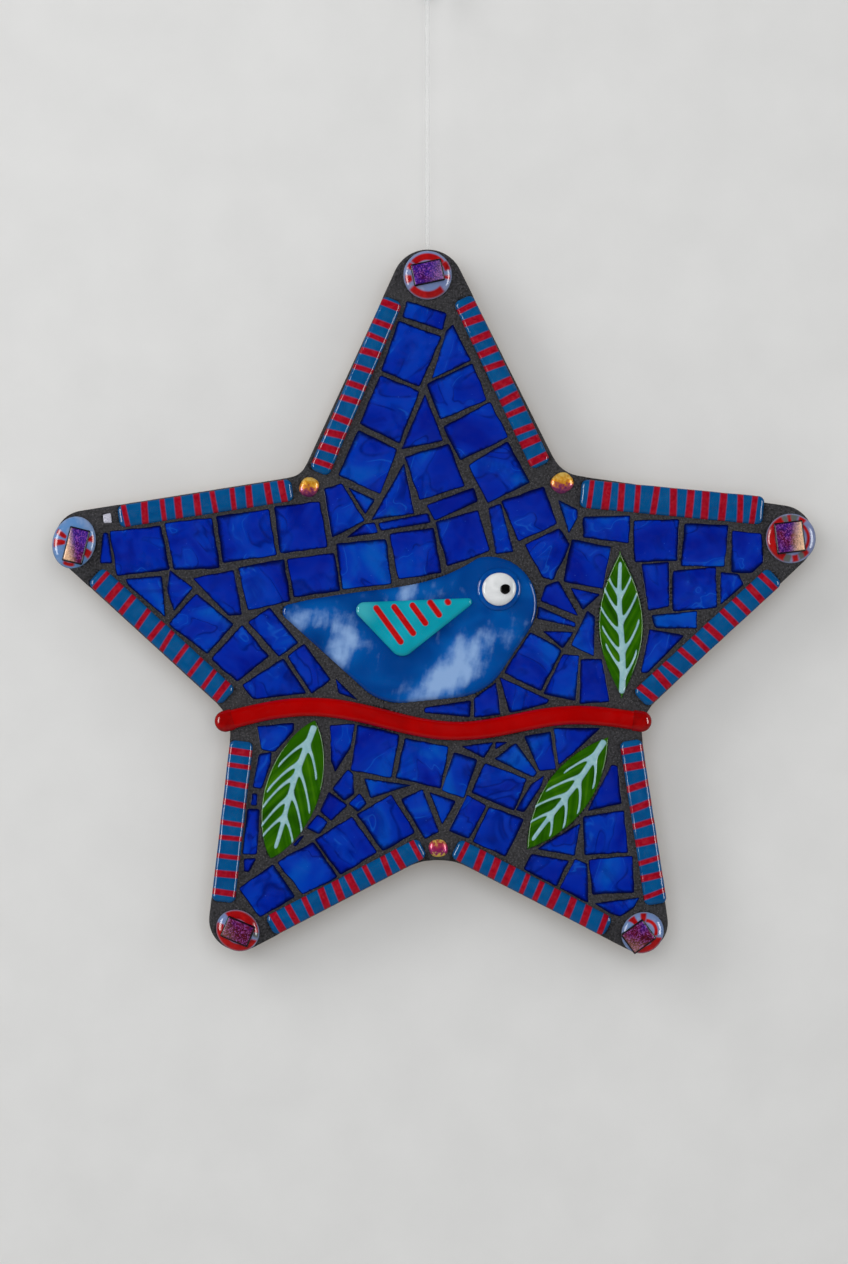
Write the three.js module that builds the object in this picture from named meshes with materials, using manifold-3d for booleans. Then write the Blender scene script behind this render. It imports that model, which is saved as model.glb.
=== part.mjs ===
// A star-shaped mosaic panel of glass and grout, made to hang on a clear cord. A blue bird sits on a
// red twig between green leaves, in a field of cut blue tiles. Millimetres, +Z up; the back face lies
// in the plane y = 0, the picture looks towards -y, and the origin is the middle of the back face.
import * as THREE from 'three';
import { mergeVertices } from 'three/addons/utils/BufferGeometryUtils.js';
import Module from 'manifold-3d';

const wasm = await Module();
wasm.setup();

// The picture is laid out flat: x to the right, y up, and height above the back face. Angles are in
// degrees, anticlockwise from x.

// Each star point ends in a round cap; reach and angle give the middle of the cap.
const starPoints = [
  { name: 'top', reach: 140.1, angle: 90.7, cap: 14.2 },
  { name: 'left', reach: 142.5, angle: 164.1, cap: 12.2 },
  { name: 'low_left', reach: 134.0, angle: 235.5, cap: 12.2 },
  { name: 'low_right', reach: 138.4, angle: 306.2, cap: 11.4 },
  { name: 'right', reach: 143.5, angle: 16.3, cap: 13.0 },
];
// Notch k lies between star points k and k + 1.
const starNotches = [
  { name: 'upper_left', reach: 83.1, angle: 128.5, fillet: 8 },
  { name: 'low_left', reach: 84.7, angle: 201.3, fillet: 16 },
  { name: 'bottom', reach: 83.7, angle: 271.5, fillet: 26 },
  { name: 'low_right', reach: 87.4, angle: 339.6, fillet: 16 },
  { name: 'upper_right', reach: 83.4, angle: 52.2, fillet: 13 },
];
const arcStep = 15;
// Share of a dome's height that is upright wall.
const wallShare = 0.25;
const shoulderAngles = [0, 35, 65, 90];

// Heights in the build-up, from the back face forward.
const boardThickness = 11;
const groutSkin = 1.5;
const seatGap = 0.3;
const bedTop = 12.3;
const groutTop = 15.0;
const tileTop = 15.9;
const seat = bedTop + seatGap;
// How far the cut for a pocket runs on past the grout.
const pocketOverrun = 12;

// Glass strips along the sides of the star. A side starts at a cap, before or after it going
// anticlockwise, and runs to a notch; from and to are measured along it, and inset is how far the
// strip's middle line lies behind the outline at both ends.
const strips = [
  { name: 'top_left', on: ['top', 'after'], from: 10.7, to: 85.2, inset: [4.1, 5.9], width: 8.2 },
  { name: 'top_right', on: ['top', 'before'], from: 10.8, to: 83.7, inset: [4.2, 5.8], width: 8.3 },
  { name: 'left_upper', on: ['left', 'before'], from: 14.6, to: 84.1, inset: [4.8, 5.0], width: 8.8 },
  { name: 'left_lower', on: ['left', 'after'], from: 12.0, to: 83.3, inset: [5.0, 5.0], width: 9.0 },
  { name: 'right_upper', on: ['right', 'after'], from: 8.4, to: 80.8, inset: [3.3, 6.8], width: 11.2 },
  { name: 'right_lower', on: ['right', 'before'], from: 11.8, to: 84.2, inset: [3.9, 4.9], width: 8.8 },
  { name: 'low_left_outer', on: ['low_left', 'before'], from: 6.2, to: 70.2, inset: [4.8, 4.8], width: 9.3 },
  { name: 'low_left_inner', on: ['low_left', 'after'], from: 9.3, to: 77.3, inset: [4.5, 4.5], width: 8.4 },
  { name: 'low_right_outer', on: ['low_right', 'after'], from: 6.4, to: 71.9, inset: [3.8, 4.8], width: 8.8 },
  { name: 'low_right_inner', on: ['low_right', 'before'], from: 10, to: 78.2, inset: [4.3, 4.6], width: 8.4 },
];
const stripWall = 2.6;
const stripCrown = 2.2;
const stripArcSteps = 6;

// Cabochons stand a little outside the middles of the caps; across is along and square to the point, and
// shift is how far each was set out of true.
const cabochonForward = 4.5;
const cabochonHeight = 5.6;
const cabochonFlat = 0.62;
const cabochonSides = 18;
const cabochons = {
  top: { across: [19.3, 19.3], shift: [0, -0.5] },
  left: { across: [17.0, 20.9], shift: [0, -1.7] },
  low_left: { across: [15.8, 17.8], shift: [1.7, -0.5] },
  low_right: { across: [15.8, 17.4], shift: [-1.3, -0.2] },
  right: { across: [19.7, 19.7], shift: [-0.4, -1.4] },
};
// Each carries a square chip, turned and shifted on it.
const chips = {
  top: { size: [12.4, 8.8], turn: 12, shift: [0.0, 0.8] },
  left: { size: [8.2, 14.0], turn: -14, shift: [1.1, -1.3] },
  low_left: { size: [11.7, 8.8], turn: -23, shift: [0.2, -0.2] },
  low_right: { size: [10.8, 9.6], turn: 36, shift: [-1.8, -1.3] },
  right: { size: [11.4, 12.4], turn: 7, shift: [-0.7, 0.4] },
};
const chipThickness = 2.0;
const chipBevel = 0.35;

// Glass nuggets inside three of the notches.
const nuggets = [
  { name: 'upper_left', reach: 77.5, angle: 128.8, across: 8.0 },
  { name: 'upper_right', reach: 80.5, angle: 50.4, across: 8.8 },
  { name: 'bottom', reach: 82.2, angle: 271.7, across: 7.6 },
];
const nuggetHeight = 4.6;
const nuggetSides = 12;

// A pale chip of glass between the left cabochon and the strip above it.
const paleChip = { x: -128.2, y: 48.2, width: 3.5, height: 4.3, turn: 5 };
const paleChipThickness = 3.2;

// The twig is a rod of glass on a wave whose swing fades from left to right, while the wave tightens by
// a share for every millimetre past its crest.
const twig = { left: -78.6, right: 79.3, level: -32.0, width: 7.5, waveLength: 131, crest: -46 };
const twigSwing = [6.6, 1.8];
const twigTightening = 0.0022;
const twigEndLength = 7.4;
const twigEndWidth = 8.4;
const twigWall = 2.6;
const twigCrown = 2.9;
const twigSteps = 28;
const twigArcSteps = 5;

// The bird is drawn with circles and the band stretched round them: tail, belly, breast and head. Its
// back dips below that band: the dip grows by one power of the way from the head and shrinks by another
// power of the way to the tail.
const birdCircles = [
  { x: -56.0, y: 11.1, r: 3.2 },
  { x: -12.6, y: -3.2, r: 21.7 },
  { x: 7.9, y: 0.8, r: 23.7 },
  { x: 22.5, y: 14.2, r: 18.9 },
];
const backDip = 4.1;
const neckPower = 1.1;
const tailPower = 2.5;
const backSteps = 12;
const birdThickness = 4.2;
const birdBevel = 1.2;
const wingCircles = [
  { x: -26.8, y: 11.8, r: 3.2 },
  { x: -11.8, y: -1.2, r: 5.1 },
  { x: 14.2, y: 15.0, r: 1.6 },
];
const wingThickness = 3.0;
const wingBevel = 0.9;
const eye = { x: 26.4, y: 20.1, base: 17.2, white: 13.2, pupil: 4.0, pupilShift: 2.4 };
const eyeBaseHeight = 1.5;
const eyeWhiteHeight = 2.2;
const eyePupilHeight = 0.7;
const eyeBaseFlat = 0.84;
const eyeFlat = 0.6;
const eyeSides = 18;
const pupilSides = 10;

// Leaves run from stem to tip. Half the width is the bulge times a power of 4 s (1 - s), where s is the
// share of the way along: a low power makes blunt ends and a high one makes pointed ends.
const leaves = [
  { name: 'right', stem: [74.9, -23.1], tip: [74.2, 35.2], bulge: 8.8, power: 1.15 },
  { name: 'low_left', stem: [-46.3, -31.7], tip: [-63.7, -86.2], bulge: 10.9, power: 0.8 },
  { name: 'low_right', stem: [69.6, -38.3], tip: [37.5, -82.6], bulge: 9.0, power: 0.95 },
];
const leafThickness = 3.6;
const leafBevel = 0.7;
const leafSteps = 9;

// Field tiles: whole squares and offcuts laid by hand, each by the x and y of its corners in turn. They
// keep at least a narrow joint away from the pieces between them.
const fieldTiles = [
  // The top point.
  [-10, 133.5, 5.5, 128.8, 4, 122.8, -11.3, 127.8],
  [-13, 125.5, 3.2, 119.5, -5.2, 100.5, -19.8, 106.5],
  [-20.4, 104, -5.3, 98, -13, 78.2, -28.2, 85.7],
  [-29, 82.6, -14.2, 75.2, -20.6, 58, -36.5, 65.3],
  [8.1, 124, 14.9, 110.5, 0.1, 103.4, 5.7, 121.6],
  [-1.8, 100.9, 15.7, 108.8, 21.4, 95, 3.4, 87.5],
  [4.8, 84, 22.7, 93.5, 29.9, 80.2, 11.1, 71.4],
  [14.7, 69, 29.6, 78, 38.2, 62.5, 22.1, 54.5],
  [-2.8, 97, 3.9, 79, -11.7, 75.8],
  [-10.4, 72, 6.5, 77.1, 12.4, 61, -4.7, 55.7],
  [-11.1, 69.5, -7.4, 50.3, -23.5, 47.8],
  // Between the top point and the bird.
  [-1.6, 53.1, 16.2, 59.8, 17.5, 55, 1.2, 47.6],
  [1.6, 46.4, 17.9, 51.1, 22.5, 34.5, 6.2, 29.8],
  [-16.6, 41.7, 0.3, 44, 3.4, 26.8, -13, 24.3],
  [-21, 45.9, -2, 49.7, -0.9, 46.7, -20, 43.6],
  [-27, 45.4, -23, 46.1, -21.7, 42.7, -33.6, 40.5],
  [-42.2, 59.5, -35.8, 61.4, -27, 47.2, -39.4, 40.8],
  [-33, 60.2, -23, 55.2, -26.4, 50.2],
  [-61.9, 52.3, -44.5, 54.3, -41.7, 36.9, -59.9, 34.3],
  [-37.5, 37.7, -18.6, 39.6, -16.3, 22.4, -35.2, 20.4],
  [-57, 31.6, -38.9, 34.1, -36.7, 19.8, -54.4, 17.3],
  [27.6, 54.6, 43.8, 60.2, 49.1, 46, 34.3, 39.4],
  [22.5, 52.1, 27, 53.4, 31.8, 35.2, 25.3, 34.3],
  [37, 37.6, 50.1, 43.7, 54.2, 37.5, 47.6, 24.2, 43.8, 25],
  [50, 55, 57.1, 51.3, 57.3, 48.8, 54, 42.6],
  // The left point.
  [-76.2, 28.3, -58.8, 31.5, -56.3, 15.7, -72.5, 12],
  [-94, 24.3, -78.5, 27.2, -75.4, 10.4, -80, 9.8],
  [-103.3, 27, -94.9, 20.6, -101.8, 12, -104.4, 20],
  [-120.6, 23.8, -107, 25, -105.5, 9.4, -119.8, 22],
  [-126.9, 42.7, -107.4, 44.6, -104, 28.1, -124, 25.7],
  [-105.2, 45.8, -87.2, 48, -84.2, 28.7, -101.7, 28.1],
  [-84.8, 48.5, -64.8, 51.4, -61.8, 33.9, -82.3, 30.8],
  [-129.6, 42, -128.2, 42, -126.6, 30.8, -130.8, 30.6],
  [-93.2, 18, -78.8, 6.2, -88.7, -5, -103.7, 6.4],
  [-75, 5.6, -65, -6.3, -77, -16, -86.9, -7.5],
  [-64.3, 12.4, -53.3, -1, -60.4, -6.2, -72.1, 6.9],
  [-58.8, -7.6, -50.3, -20.7, -70.4, -23, -74.5, -17.8],
  [-50.5, -1.9, -40.4, -15.6, -47.5, -20.7, -56.8, -6.4],
  [-38, -15.4, -29.4, -23.6, -36.8, -20.6],
  // The right point.
  [60, 48.4, 78, 48.8, 77.3, 38.7, 59.9, 40.9],
  [55.3, 39.4, 70.3, 36.5, 67.1, 20.7, 52.3, 23.4],
  [80, 46.9, 97.1, 47.2, 96.4, 31.7, 80.1, 31],
  [100.1, 45.6, 116.6, 45, 115.2, 29.4, 98.6, 29.6],
  [118.8, 42.8, 129.6, 41.6, 130.4, 31, 126, 26.8, 118.4, 27],
  [82.9, 29.8, 93.2, 30.5, 93.4, 13.5, 85.6, 12],
  [95.2, 27, 111.8, 28.5, 112.2, 13, 95.3, 11.7],
  [114.2, 26.5, 120.8, 25.7, 122.8, 22.2, 113.9, 14.2],
  [87, 9.5, 104.2, 11.1, 104.2, 5, 88.4, 5],
  [86, 4, 99, 1.6, 85, -12.6, 82.8, -12.4],
  // Between the bird and the right leaf.
  [49.8, 23, 57.6, 9.6, 43.2, 15.7, 44.9, 21.2],
  [55, 20.4, 65.8, 17.9, 59.5, 12.4],
  [42.2, 12.9, 56.3, 6.6, 56.1, 5.6, 40.8, 9],
  [36.8, 4, 51, -4, 42.8, -19.8, 28.7, -12.8],
  [44, 3.4, 55.4, 2.9, 51.5, -2.8],
  [61.4, 11.2, 64, 8.8, 63.6, -6, 55.2, -1.9],
  [51.8, -6, 57.8, -6.5, 56.4, -23.5, 44.2, -21],
  [58.8, -8, 66.8, -7.8, 69.8, -24.1, 58.6, -24.8],
  [27, -15, 45.8, -23.7, 45, -24.8, 31, -28.5],
  [25, -16.4, 26.7, -29.1, 16.8, -30.2, 16.6, -22.1],
  [-2.8, -27, 15, -24.2, 14.8, -30, -2.8, -28.3],
  // The lower left point.
  [-68.7, -34.4, -54.8, -33, -54.9, -35.7, -62.2, -43.8, -67.2, -42.9],
  [-68.2, -45.5, -63.7, -44.5, -64, -48.3, -67.6, -58.4, -70.5, -57.7],
  [-70.8, -60.8, -69.2, -61, -69.5, -65, -71.3, -64.8],
  [-72.5, -67, -68, -67.1, -69.5, -84.2, -74.5, -84.1],
  [-74, -86.6, -70, -86.5, -72.6, -91.2, -74, -91],
  [-62.9, -89, -54.5, -101.3, -67.8, -109, -76, -98.1],
  [-47, -80, -37.6, -93.5, -50.9, -99.9, -61, -87.7],
  [-31.9, -70.2, -22.2, -83.6, -36, -92.3, -45.9, -78.9],
  [-16.4, -61.3, -7, -75.8, -19.4, -82.9, -29.2, -69],
  [-45, -69.2, -41.6, -72, -44.6, -76.3, -49.3, -74],
  [-50.4, -77, -53.8, -81, -55.5, -80.4],
  [-40.7, -60.4, -33.9, -65.2, -39.8, -70.9, -44, -67.4],
  [-33.3, -51.5, -31.5, -53.2, -31, -60.5, -34.6, -63, -39, -58.7],
  [-28.7, -60.9, -26.1, -64.4, -29.2, -67.4, -32.5, -64.5],
  [-40, -34, -30.8, -33.4, -32.4, -42, -38.2, -51.5, -39.6, -48],
  [-29.1, -33.8, -13.3, -36.9, -16.3, -54.1, -31.8, -51],
  [-26.3, -55, -8.5, -57.3, -24.2, -62],
  // Between the lower points.
  [-10.5, -39.1, 6.2, -42.3, 3.1, -58.1, -14, -54.1],
  [8.7, -44.7, 17.5, -47.5, 12.3, -62, 4, -59.1],
  [-4, -59.3, 2.4, -75.5, -2.7, -78, -12, -63],
  [-0.6, -60.5, 9, -63.8, 4, -72.2],
  [14, -61.5, 21, -65.5, 14.4, -78.2, 7, -75.1],
  [22.8, -66.1, 36, -70.9, 28.9, -84.9, 16.4, -79.5],
  [21, -48.9, 37, -55, 32.2, -67, 15.9, -60],
  [11.9, -42, 23.9, -40.5, 20.3, -46.2],
  [25.3, -40.6, 29.8, -40.3, 25.3, -42.6],
  // The lower right point.
  [33, -41, 41.1, -52.2, 39.8, -53.8, 25.3, -46.8],
  [36.8, -38.2, 46.5, -36.5, 48.7, -50.7, 42.5, -51.2],
  [48.2, -35, 65.8, -35, 50.2, -49.3],
  [44, -53.8, 43, -57, 36.2, -67.5, 33.4, -66.8, 39.5, -57],
  [70, -49.7, 72.9, -50, 74.5, -64.1, 61.9, -67.1],
  [60, -70, 75.5, -67.5, 77, -83.5, 60.5, -84.5],
  [58.5, -71.5, 56, -84.7, 42, -82.5],
  [39.5, -84.9, 53.5, -87.4, 48.5, -97.5, 36, -91],
  [56.5, -86.9, 61, -88.5, 61.4, -104, 50.2, -98.7],
  [62, -86.9, 78.8, -85.5, 79.4, -99.3, 63.7, -100],
  [64.3, -104, 81.3, -102, 79.5, -105.2, 74.2, -108.8, 70.5, -107.6],
];
const joint = 1.1;
const shortestSide = 0.6;

// The clear cord rises from a hole in the top edge to a loop closed by a crimped sleeve.
const cordDiameter = 1.6;
const cordSides = 8;
const cordHoleDepth = 8;
const cordBore = 2.4;
const boreSides = 12;
const cordX = -1.9;
const cordRoute = [
  [-1.9, 147], [-1.9, 154], [-1.9, 161], [-1.9, 168], [-1.9, 175], [-1.9, 182], [-1.9, 189],
  [-1.9, 196], [-1.9, 203], [-1.9, 210], [-1.9, 217], [-1.9, 224], [-1.9, 231], [-1.9, 238],
  [-1.9, 245], [-1.9, 252], [-1.9, 258], [-2.1, 262], [-3.6, 267], [-6.9, 272.2], [-8.2, 277.5],
  [-6.0, 282.6], [-0.9, 285.0], [4.3, 282.6], [6.5, 277.5], [5.0, 272.2], [1.9, 267], [0.5, 262],
  [0.3, 257.4],
];
const cordStep = 4;
const sleeve = { width: 5.6, depth: 3.6, bottom: 255.6, top: 262.4, bevel: 0.6 };

const deg = THREE.MathUtils.degToRad;
const vec = (x, y) => new THREE.Vector2(x, y);
const polar = (reach, angle) => vec(reach * Math.cos(deg(angle)), reach * Math.sin(deg(angle)));
const capMiddle = (point) => polar(point.reach, point.angle);
const cornerOf = (notch) => polar(notch.reach, notch.angle);

// Points of an arc, from one angle to the next anticlockwise, or clockwise where turn is -1.
function arc(middle, radius, start, end, turn = 1) {
  const sweep = THREE.MathUtils.euclideanModulo(turn * (end - start), 2 * Math.PI);
  const steps = Math.max(1, Math.round(sweep / deg(arcStep)));
  return Array.from({ length: steps + 1 }, (_, i) => {
    const angle = start + turn * sweep * (i / steps);
    return vec(middle.x + radius * Math.cos(angle), middle.y + radius * Math.sin(angle));
  });
}

// Where a line from a notch touches a cap: before or after it, going anticlockwise round the star.
function touchPoint(point, notch, side) {
  const middle = capMiddle(point);
  const toNotch = cornerOf(notch).sub(middle);
  const half = Math.acos(point.cap / toNotch.length());
  const angle = toNotch.angle() + (side === 'before' ? half : -half);
  return middle.add(vec(point.cap * Math.cos(angle), point.cap * Math.sin(angle)));
}

// One straight side of the star: its start on the cap, its direction to the notch, and the way in.
function starSide([pointName, side]) {
  const index = starPoints.findIndex((point) => point.name === pointName);
  const count = starPoints.length;
  const notch = starNotches[side === 'after' ? index : (index + count - 1) % count];
  const start = touchPoint(starPoints[index], notch, side);
  const run = cornerOf(notch).sub(start);
  const length = run.length();
  const along = run.divideScalar(length);
  const inward = side === 'after' ? vec(-along.y, along.x) : vec(along.y, -along.x);
  const at = (way, depth) => start.clone().addScaledVector(along, way).addScaledVector(inward, depth);
  return { length, along, inward, at };
}

// The outline of the star, drawn in by inset: caps shrink and fillets grow by that much.
function starOutline(inset) {
  const count = starPoints.length;
  return starPoints.flatMap((point, i) => {
    const notchBefore = starNotches[(i + count - 1) % count];
    const notch = starNotches[i];
    const middle = capMiddle(point);
    const first = touchPoint(point, notchBefore, 'before').sub(middle).angle();
    const last = touchPoint(point, notch, 'after').sub(middle).angle();
    const cap = arc(middle, point.cap - inset, first, last);
    const corner = cornerOf(notch);
    const toThis = touchPoint(point, notch, 'after').sub(corner).normalize();
    const toNext = touchPoint(starPoints[(i + 1) % count], notch, 'before').sub(corner).normalize();
    const outward = toThis.clone().add(toNext).normalize();
    const half = Math.acos(outward.dot(toThis));
    const filletMiddle = corner.addScaledVector(outward, notch.fillet / Math.sin(half));
    const entry = vec(toThis.y, -toThis.x);
    const exit = vec(-toNext.y, toNext.x);
    const flip = entry.dot(outward) < 0 ? 1 : -1;
    const fillet = arc(
      filletMiddle,
      notch.fillet + inset,
      entry.multiplyScalar(flip).angle(),
      exit.multiplyScalar(flip).angle(),
      -1,
    );
    return [...cap, ...fillet];
  });
}

// The convex band round a set of points, anticlockwise.
function band(points) {
  const sorted = [...points].sort((a, b) => a.x - b.x || a.y - b.y);
  const chain = (list) => {
    const kept = [];
    list.forEach((p) => {
      while (kept.length > 1) {
        const a = kept.at(-2);
        const b = kept.at(-1);
        if (b.clone().sub(a).cross(p.clone().sub(b)) > 1e-6) break;
        kept.pop();
      }
      kept.push(p);
    });
    return kept.slice(0, -1);
  };
  return [...chain(sorted), ...chain(sorted.reverse())];
}

const circle = (x, y, r, sides) => Array.from({ length: sides }, (_, i) => {
  const angle = (2 * Math.PI * i) / sides;
  return vec(x + r * Math.cos(angle), y + r * Math.sin(angle));
});
const bandOfCircles = (circles, grow) => band(
  circles.flatMap(({ x, y, r }) => circle(x, y, r + grow, 360 / arcStep)),
);

function rectangle(x, y, width, height, turn) {
  const half = vec(width / 2, height / 2);
  const corners = [vec(-half.x, -half.y), vec(half.x, -half.y), half, vec(-half.x, half.y)];
  return corners.map((corner) => corner.rotateAround(vec(0, 0), deg(turn)).add(vec(x, y)));
}

// A convex outline made larger all round by moving each side out.
function grown(outline, distance) {
  return outline.map((corner, i) => {
    const before = outline.at(i - 1);
    const next = outline[(i + 1) % outline.length];
    const normalIn = corner.clone().sub(before).normalize();
    const normalOut = next.clone().sub(corner).normalize();
    const a = vec(normalIn.y, -normalIn.x);
    const b = vec(normalOut.y, -normalOut.x);
    const mitre = a.clone().add(b).normalize();
    return corner.clone().addScaledVector(mitre, distance / mitre.dot(a));
  });
}

// The bird's outline: the longest side of its band is the back, drawn in by a lopsided wave.
function birdOutline(grow) {
  const sides = sidesOf(bandOfCircles(birdCircles, grow));
  const lengths = sides.map(({ start, end }) => start.distanceTo(end));
  const back = lengths.indexOf(Math.max(...lengths));
  const wave = (share) => share ** neckPower * (1 - share) ** tailPower;
  const deepest = neckPower / (neckPower + tailPower);
  return sides.flatMap(({ start, end, outward }, i) => {
    if (i !== back) return [start];
    return Array.from({ length: backSteps }, (_, step) => {
      const share = step / backSteps;
      const dip = (backDip * wave(share)) / wave(deepest);
      return start.clone().lerp(end, share).addScaledVector(outward, -dip);
    });
  });
}

function leafOutline(leaf) {
  const stem = vec(...leaf.stem);
  const run = vec(...leaf.tip).sub(stem);
  const across = vec(-run.y, run.x).normalize();
  const side = (sign) => Array.from({ length: leafSteps }, (_, i) => {
    const share = sign > 0 ? 1 - i / leafSteps : i / leafSteps;
    const half = leaf.bulge * (4 * share * (1 - share)) ** leaf.power;
    return stem.clone().addScaledVector(run, share).addScaledVector(across, sign * half);
  });
  return [...side(1), ...side(-1)];
}

// The twig's middle line at x, with its direction there and the way across it.
function twigAt(x) {
  const share = (x - twig.left) / (twig.right - twig.left);
  const swing = THREE.MathUtils.lerp(...twigSwing, share);
  const past = x - twig.crest;
  const rate = (2 * Math.PI) / twig.waveLength;
  const phase = rate * past * (1 + twigTightening * past);
  const slope = -swing * Math.sin(phase) * rate * (1 + 2 * twigTightening * past);
  const along = vec(1, slope).normalize();
  return { middle: vec(x, twig.level + swing * Math.cos(phase)), along, across: vec(-along.y, along.x) };
}
function twigOutline(left, right, steps, halfWidth) {
  const xAt = (i) => THREE.MathUtils.lerp(left, right, i / steps);
  const rows = Array.from({ length: steps + 1 }, (_, i) => twigAt(xAt(i)));
  const below = rows.map(({ middle, across }) => middle.clone().addScaledVector(across, -halfWidth));
  const above = rows.map(({ middle, across }) => middle.clone().addScaledVector(across, halfWidth));
  return [...below, ...above.reverse()];
}
// A twig end carries on where the twig stops, square at its inner side and round at its outer one.
function twigEndOutline(sign, grow) {
  const { middle, along, across } = twigAt(sign < 0 ? twig.left : twig.right);
  const half = twigEndWidth / 2 + grow;
  const at = (run, offset) => middle.clone()
    .addScaledVector(along, sign * run)
    .addScaledVector(across, offset);
  const tip = at(twigEndLength - twigEndWidth / 2, 0);
  const inner = seatGap - grow;
  const isOuter = (p) => sign * p.clone().sub(tip).dot(along) >= 0;
  const cap = circle(tip.x, tip.y, half, 360 / arcStep).filter(isOuter);
  return band([at(inner, -half), at(inner, half), ...cap]);
}

// Plan of every piece set in the grout, grown by a clearance.
function stripPlan(strip, grow) {
  const { at } = starSide(strip.on);
  const start = at(strip.from, strip.inset[0]);
  const end = at(strip.to, strip.inset[1]);
  const middle = start.clone().lerp(end, 0.5);
  const run = end.sub(start);
  const turn = THREE.MathUtils.radToDeg(run.angle());
  return { middle, turn, length: run.length() + 2 * grow, width: strip.width + 2 * grow };
}
function stripOutline(strip, grow) {
  const plan = stripPlan(strip, grow);
  return rectangle(plan.middle.x, plan.middle.y, plan.length, plan.width, plan.turn);
}
function cabochonPlan(point) {
  const { across, shift } = cabochons[point.name];
  const middle = polar(point.reach + cabochonForward, point.angle).add(vec(...shift));
  return { middle, turn: point.angle, across };
}
function cabochonOutline(point, grow) {
  const { middle, turn, across } = cabochonPlan(point);
  const stretch = vec(across[0] / 2 + grow, across[1] / 2 + grow);
  return circle(0, 0, 1, cabochonSides)
    .map((p) => p.multiply(stretch).rotateAround(vec(0, 0), deg(turn)).add(middle));
}
function nuggetOutline(nugget, grow) {
  const middle = polar(nugget.reach, nugget.angle);
  return circle(middle.x, middle.y, nugget.across / 2 + grow, nuggetSides);
}
const paleChipOutline = (grow) => rectangle(
  paleChip.x,
  paleChip.y,
  paleChip.width + 2 * grow,
  paleChip.height + 2 * grow,
  paleChip.turn,
);

// What the tiles keep a joint away from, as convex outlines.
function obstacles() {
  const twigParts = Array.from({ length: twigSteps / 2 }, (_, i) => {
    const xAt = (part) => THREE.MathUtils.lerp(twig.left, twig.right, part / (twigSteps / 2));
    return band(twigOutline(xAt(i), xAt(i + 1), 1, twig.width / 2));
  });
  return [
    ...strips.map((strip) => stripOutline(strip, 0)),
    ...starPoints.map((point) => cabochonOutline(point, 0)),
    ...nuggets.map((nugget) => nuggetOutline(nugget, 0)),
    paleChipOutline(0),
    ...twigParts,
    twigEndOutline(-1, 0),
    twigEndOutline(1, 0),
    bandOfCircles(birdCircles.slice(0, 3), 0),
    bandOfCircles(birdCircles.slice(2), 0),
    ...leaves.map(leafOutline),
  ];
}

const area = (outline) => (outline.length < 3 ? 0 : THREE.ShapeUtils.area(outline));
const sidesOf = (outline) => outline.map((start, i) => {
  const end = outline[(i + 1) % outline.length];
  const along = end.clone().sub(start).normalize();
  return { start, end, outward: vec(along.y, -along.x) };
});

// The part of a convex outline on the far side of a line.
function keepBeyond(outline, origin, direction) {
  const depth = (p) => (p.x - origin.x) * direction.x + (p.y - origin.y) * direction.y;
  return outline.flatMap((corner, i) => {
    const next = outline[(i + 1) % outline.length];
    const here = depth(corner);
    const there = depth(next);
    const kept = here >= 0 ? [corner] : [];
    return here * there < 0 ? [...kept, corner.clone().lerp(next, here / (here - there))] : kept;
  });
}

// A tile cut back along one straight line, so that it clears a neighbour by a joint.
function cutBack(tile, neighbour) {
  const clears = ({ start, outward }) => neighbour.every((p) => p.clone().sub(start).dot(outward) >= joint);
  if (sidesOf(tile).some(clears)) return tile;
  return sidesOf(neighbour)
    .map(({ start, outward }) => keepBeyond(tile, start.clone().addScaledVector(outward, joint), outward))
    .reduce((best, cut) => (area(cut) > area(best) ? cut : best), []);
}

// Whether a corner stands well away from the one before it.
const isLongSide = (corner, i, outline) => corner.distanceTo(outline.at(i - 1)) > shortestSide;

// The outlines of the field tiles, each cut back from the pieces that it would come too near to.
function layTiles() {
  const pieces = obstacles();
  return fieldTiles.map((numbers) => {
    const count = numbers.length / 2;
    const corners = Array.from({ length: count }, (_, i) => vec(numbers[2 * i], numbers[2 * i + 1]));
    return pieces.reduce(cutBack, band(corners)).filter(isLongSide);
  });
}

// Solids: a flat plate, a plate with rounded edges, and a dome turned on its axis.
function plate(outline, bottom, top) {
  const shape = new THREE.Shape(outline);
  const geometry = new THREE.ExtrudeGeometry(shape, { depth: top - bottom, bevelEnabled: false });
  return geometry.translate(0, 0, bottom);
}
function softPlate(outline, bottom, thickness, bevel, bevelSegments = 2) {
  const geometry = new THREE.ExtrudeGeometry(new THREE.Shape(outline), {
    depth: thickness - 2 * bevel,
    bevelThickness: bevel,
    bevelSize: bevel,
    bevelOffset: -bevel,
    bevelSegments,
  });
  return geometry.translate(0, 0, bottom + bevel);
}
function dome(across, height, flatShare, sides) {
  const flat = flatShare / 2;
  const shoulder = shoulderAngles.map((angle) => vec(
    flat + (0.5 - flat) * Math.cos(deg(angle)),
    height * (wallShare + (1 - wallShare) * Math.sin(deg(angle))),
  ));
  const crown = flat > 0 ? shoulder : shoulder.slice(0, -1);
  const profile = [vec(0, 0), vec(0.5, 0), ...crown, vec(0, height)];
  return new THREE.LatheGeometry(profile, sides).rotateX(Math.PI / 2).scale(across[0], across[1], 1);
}

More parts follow.
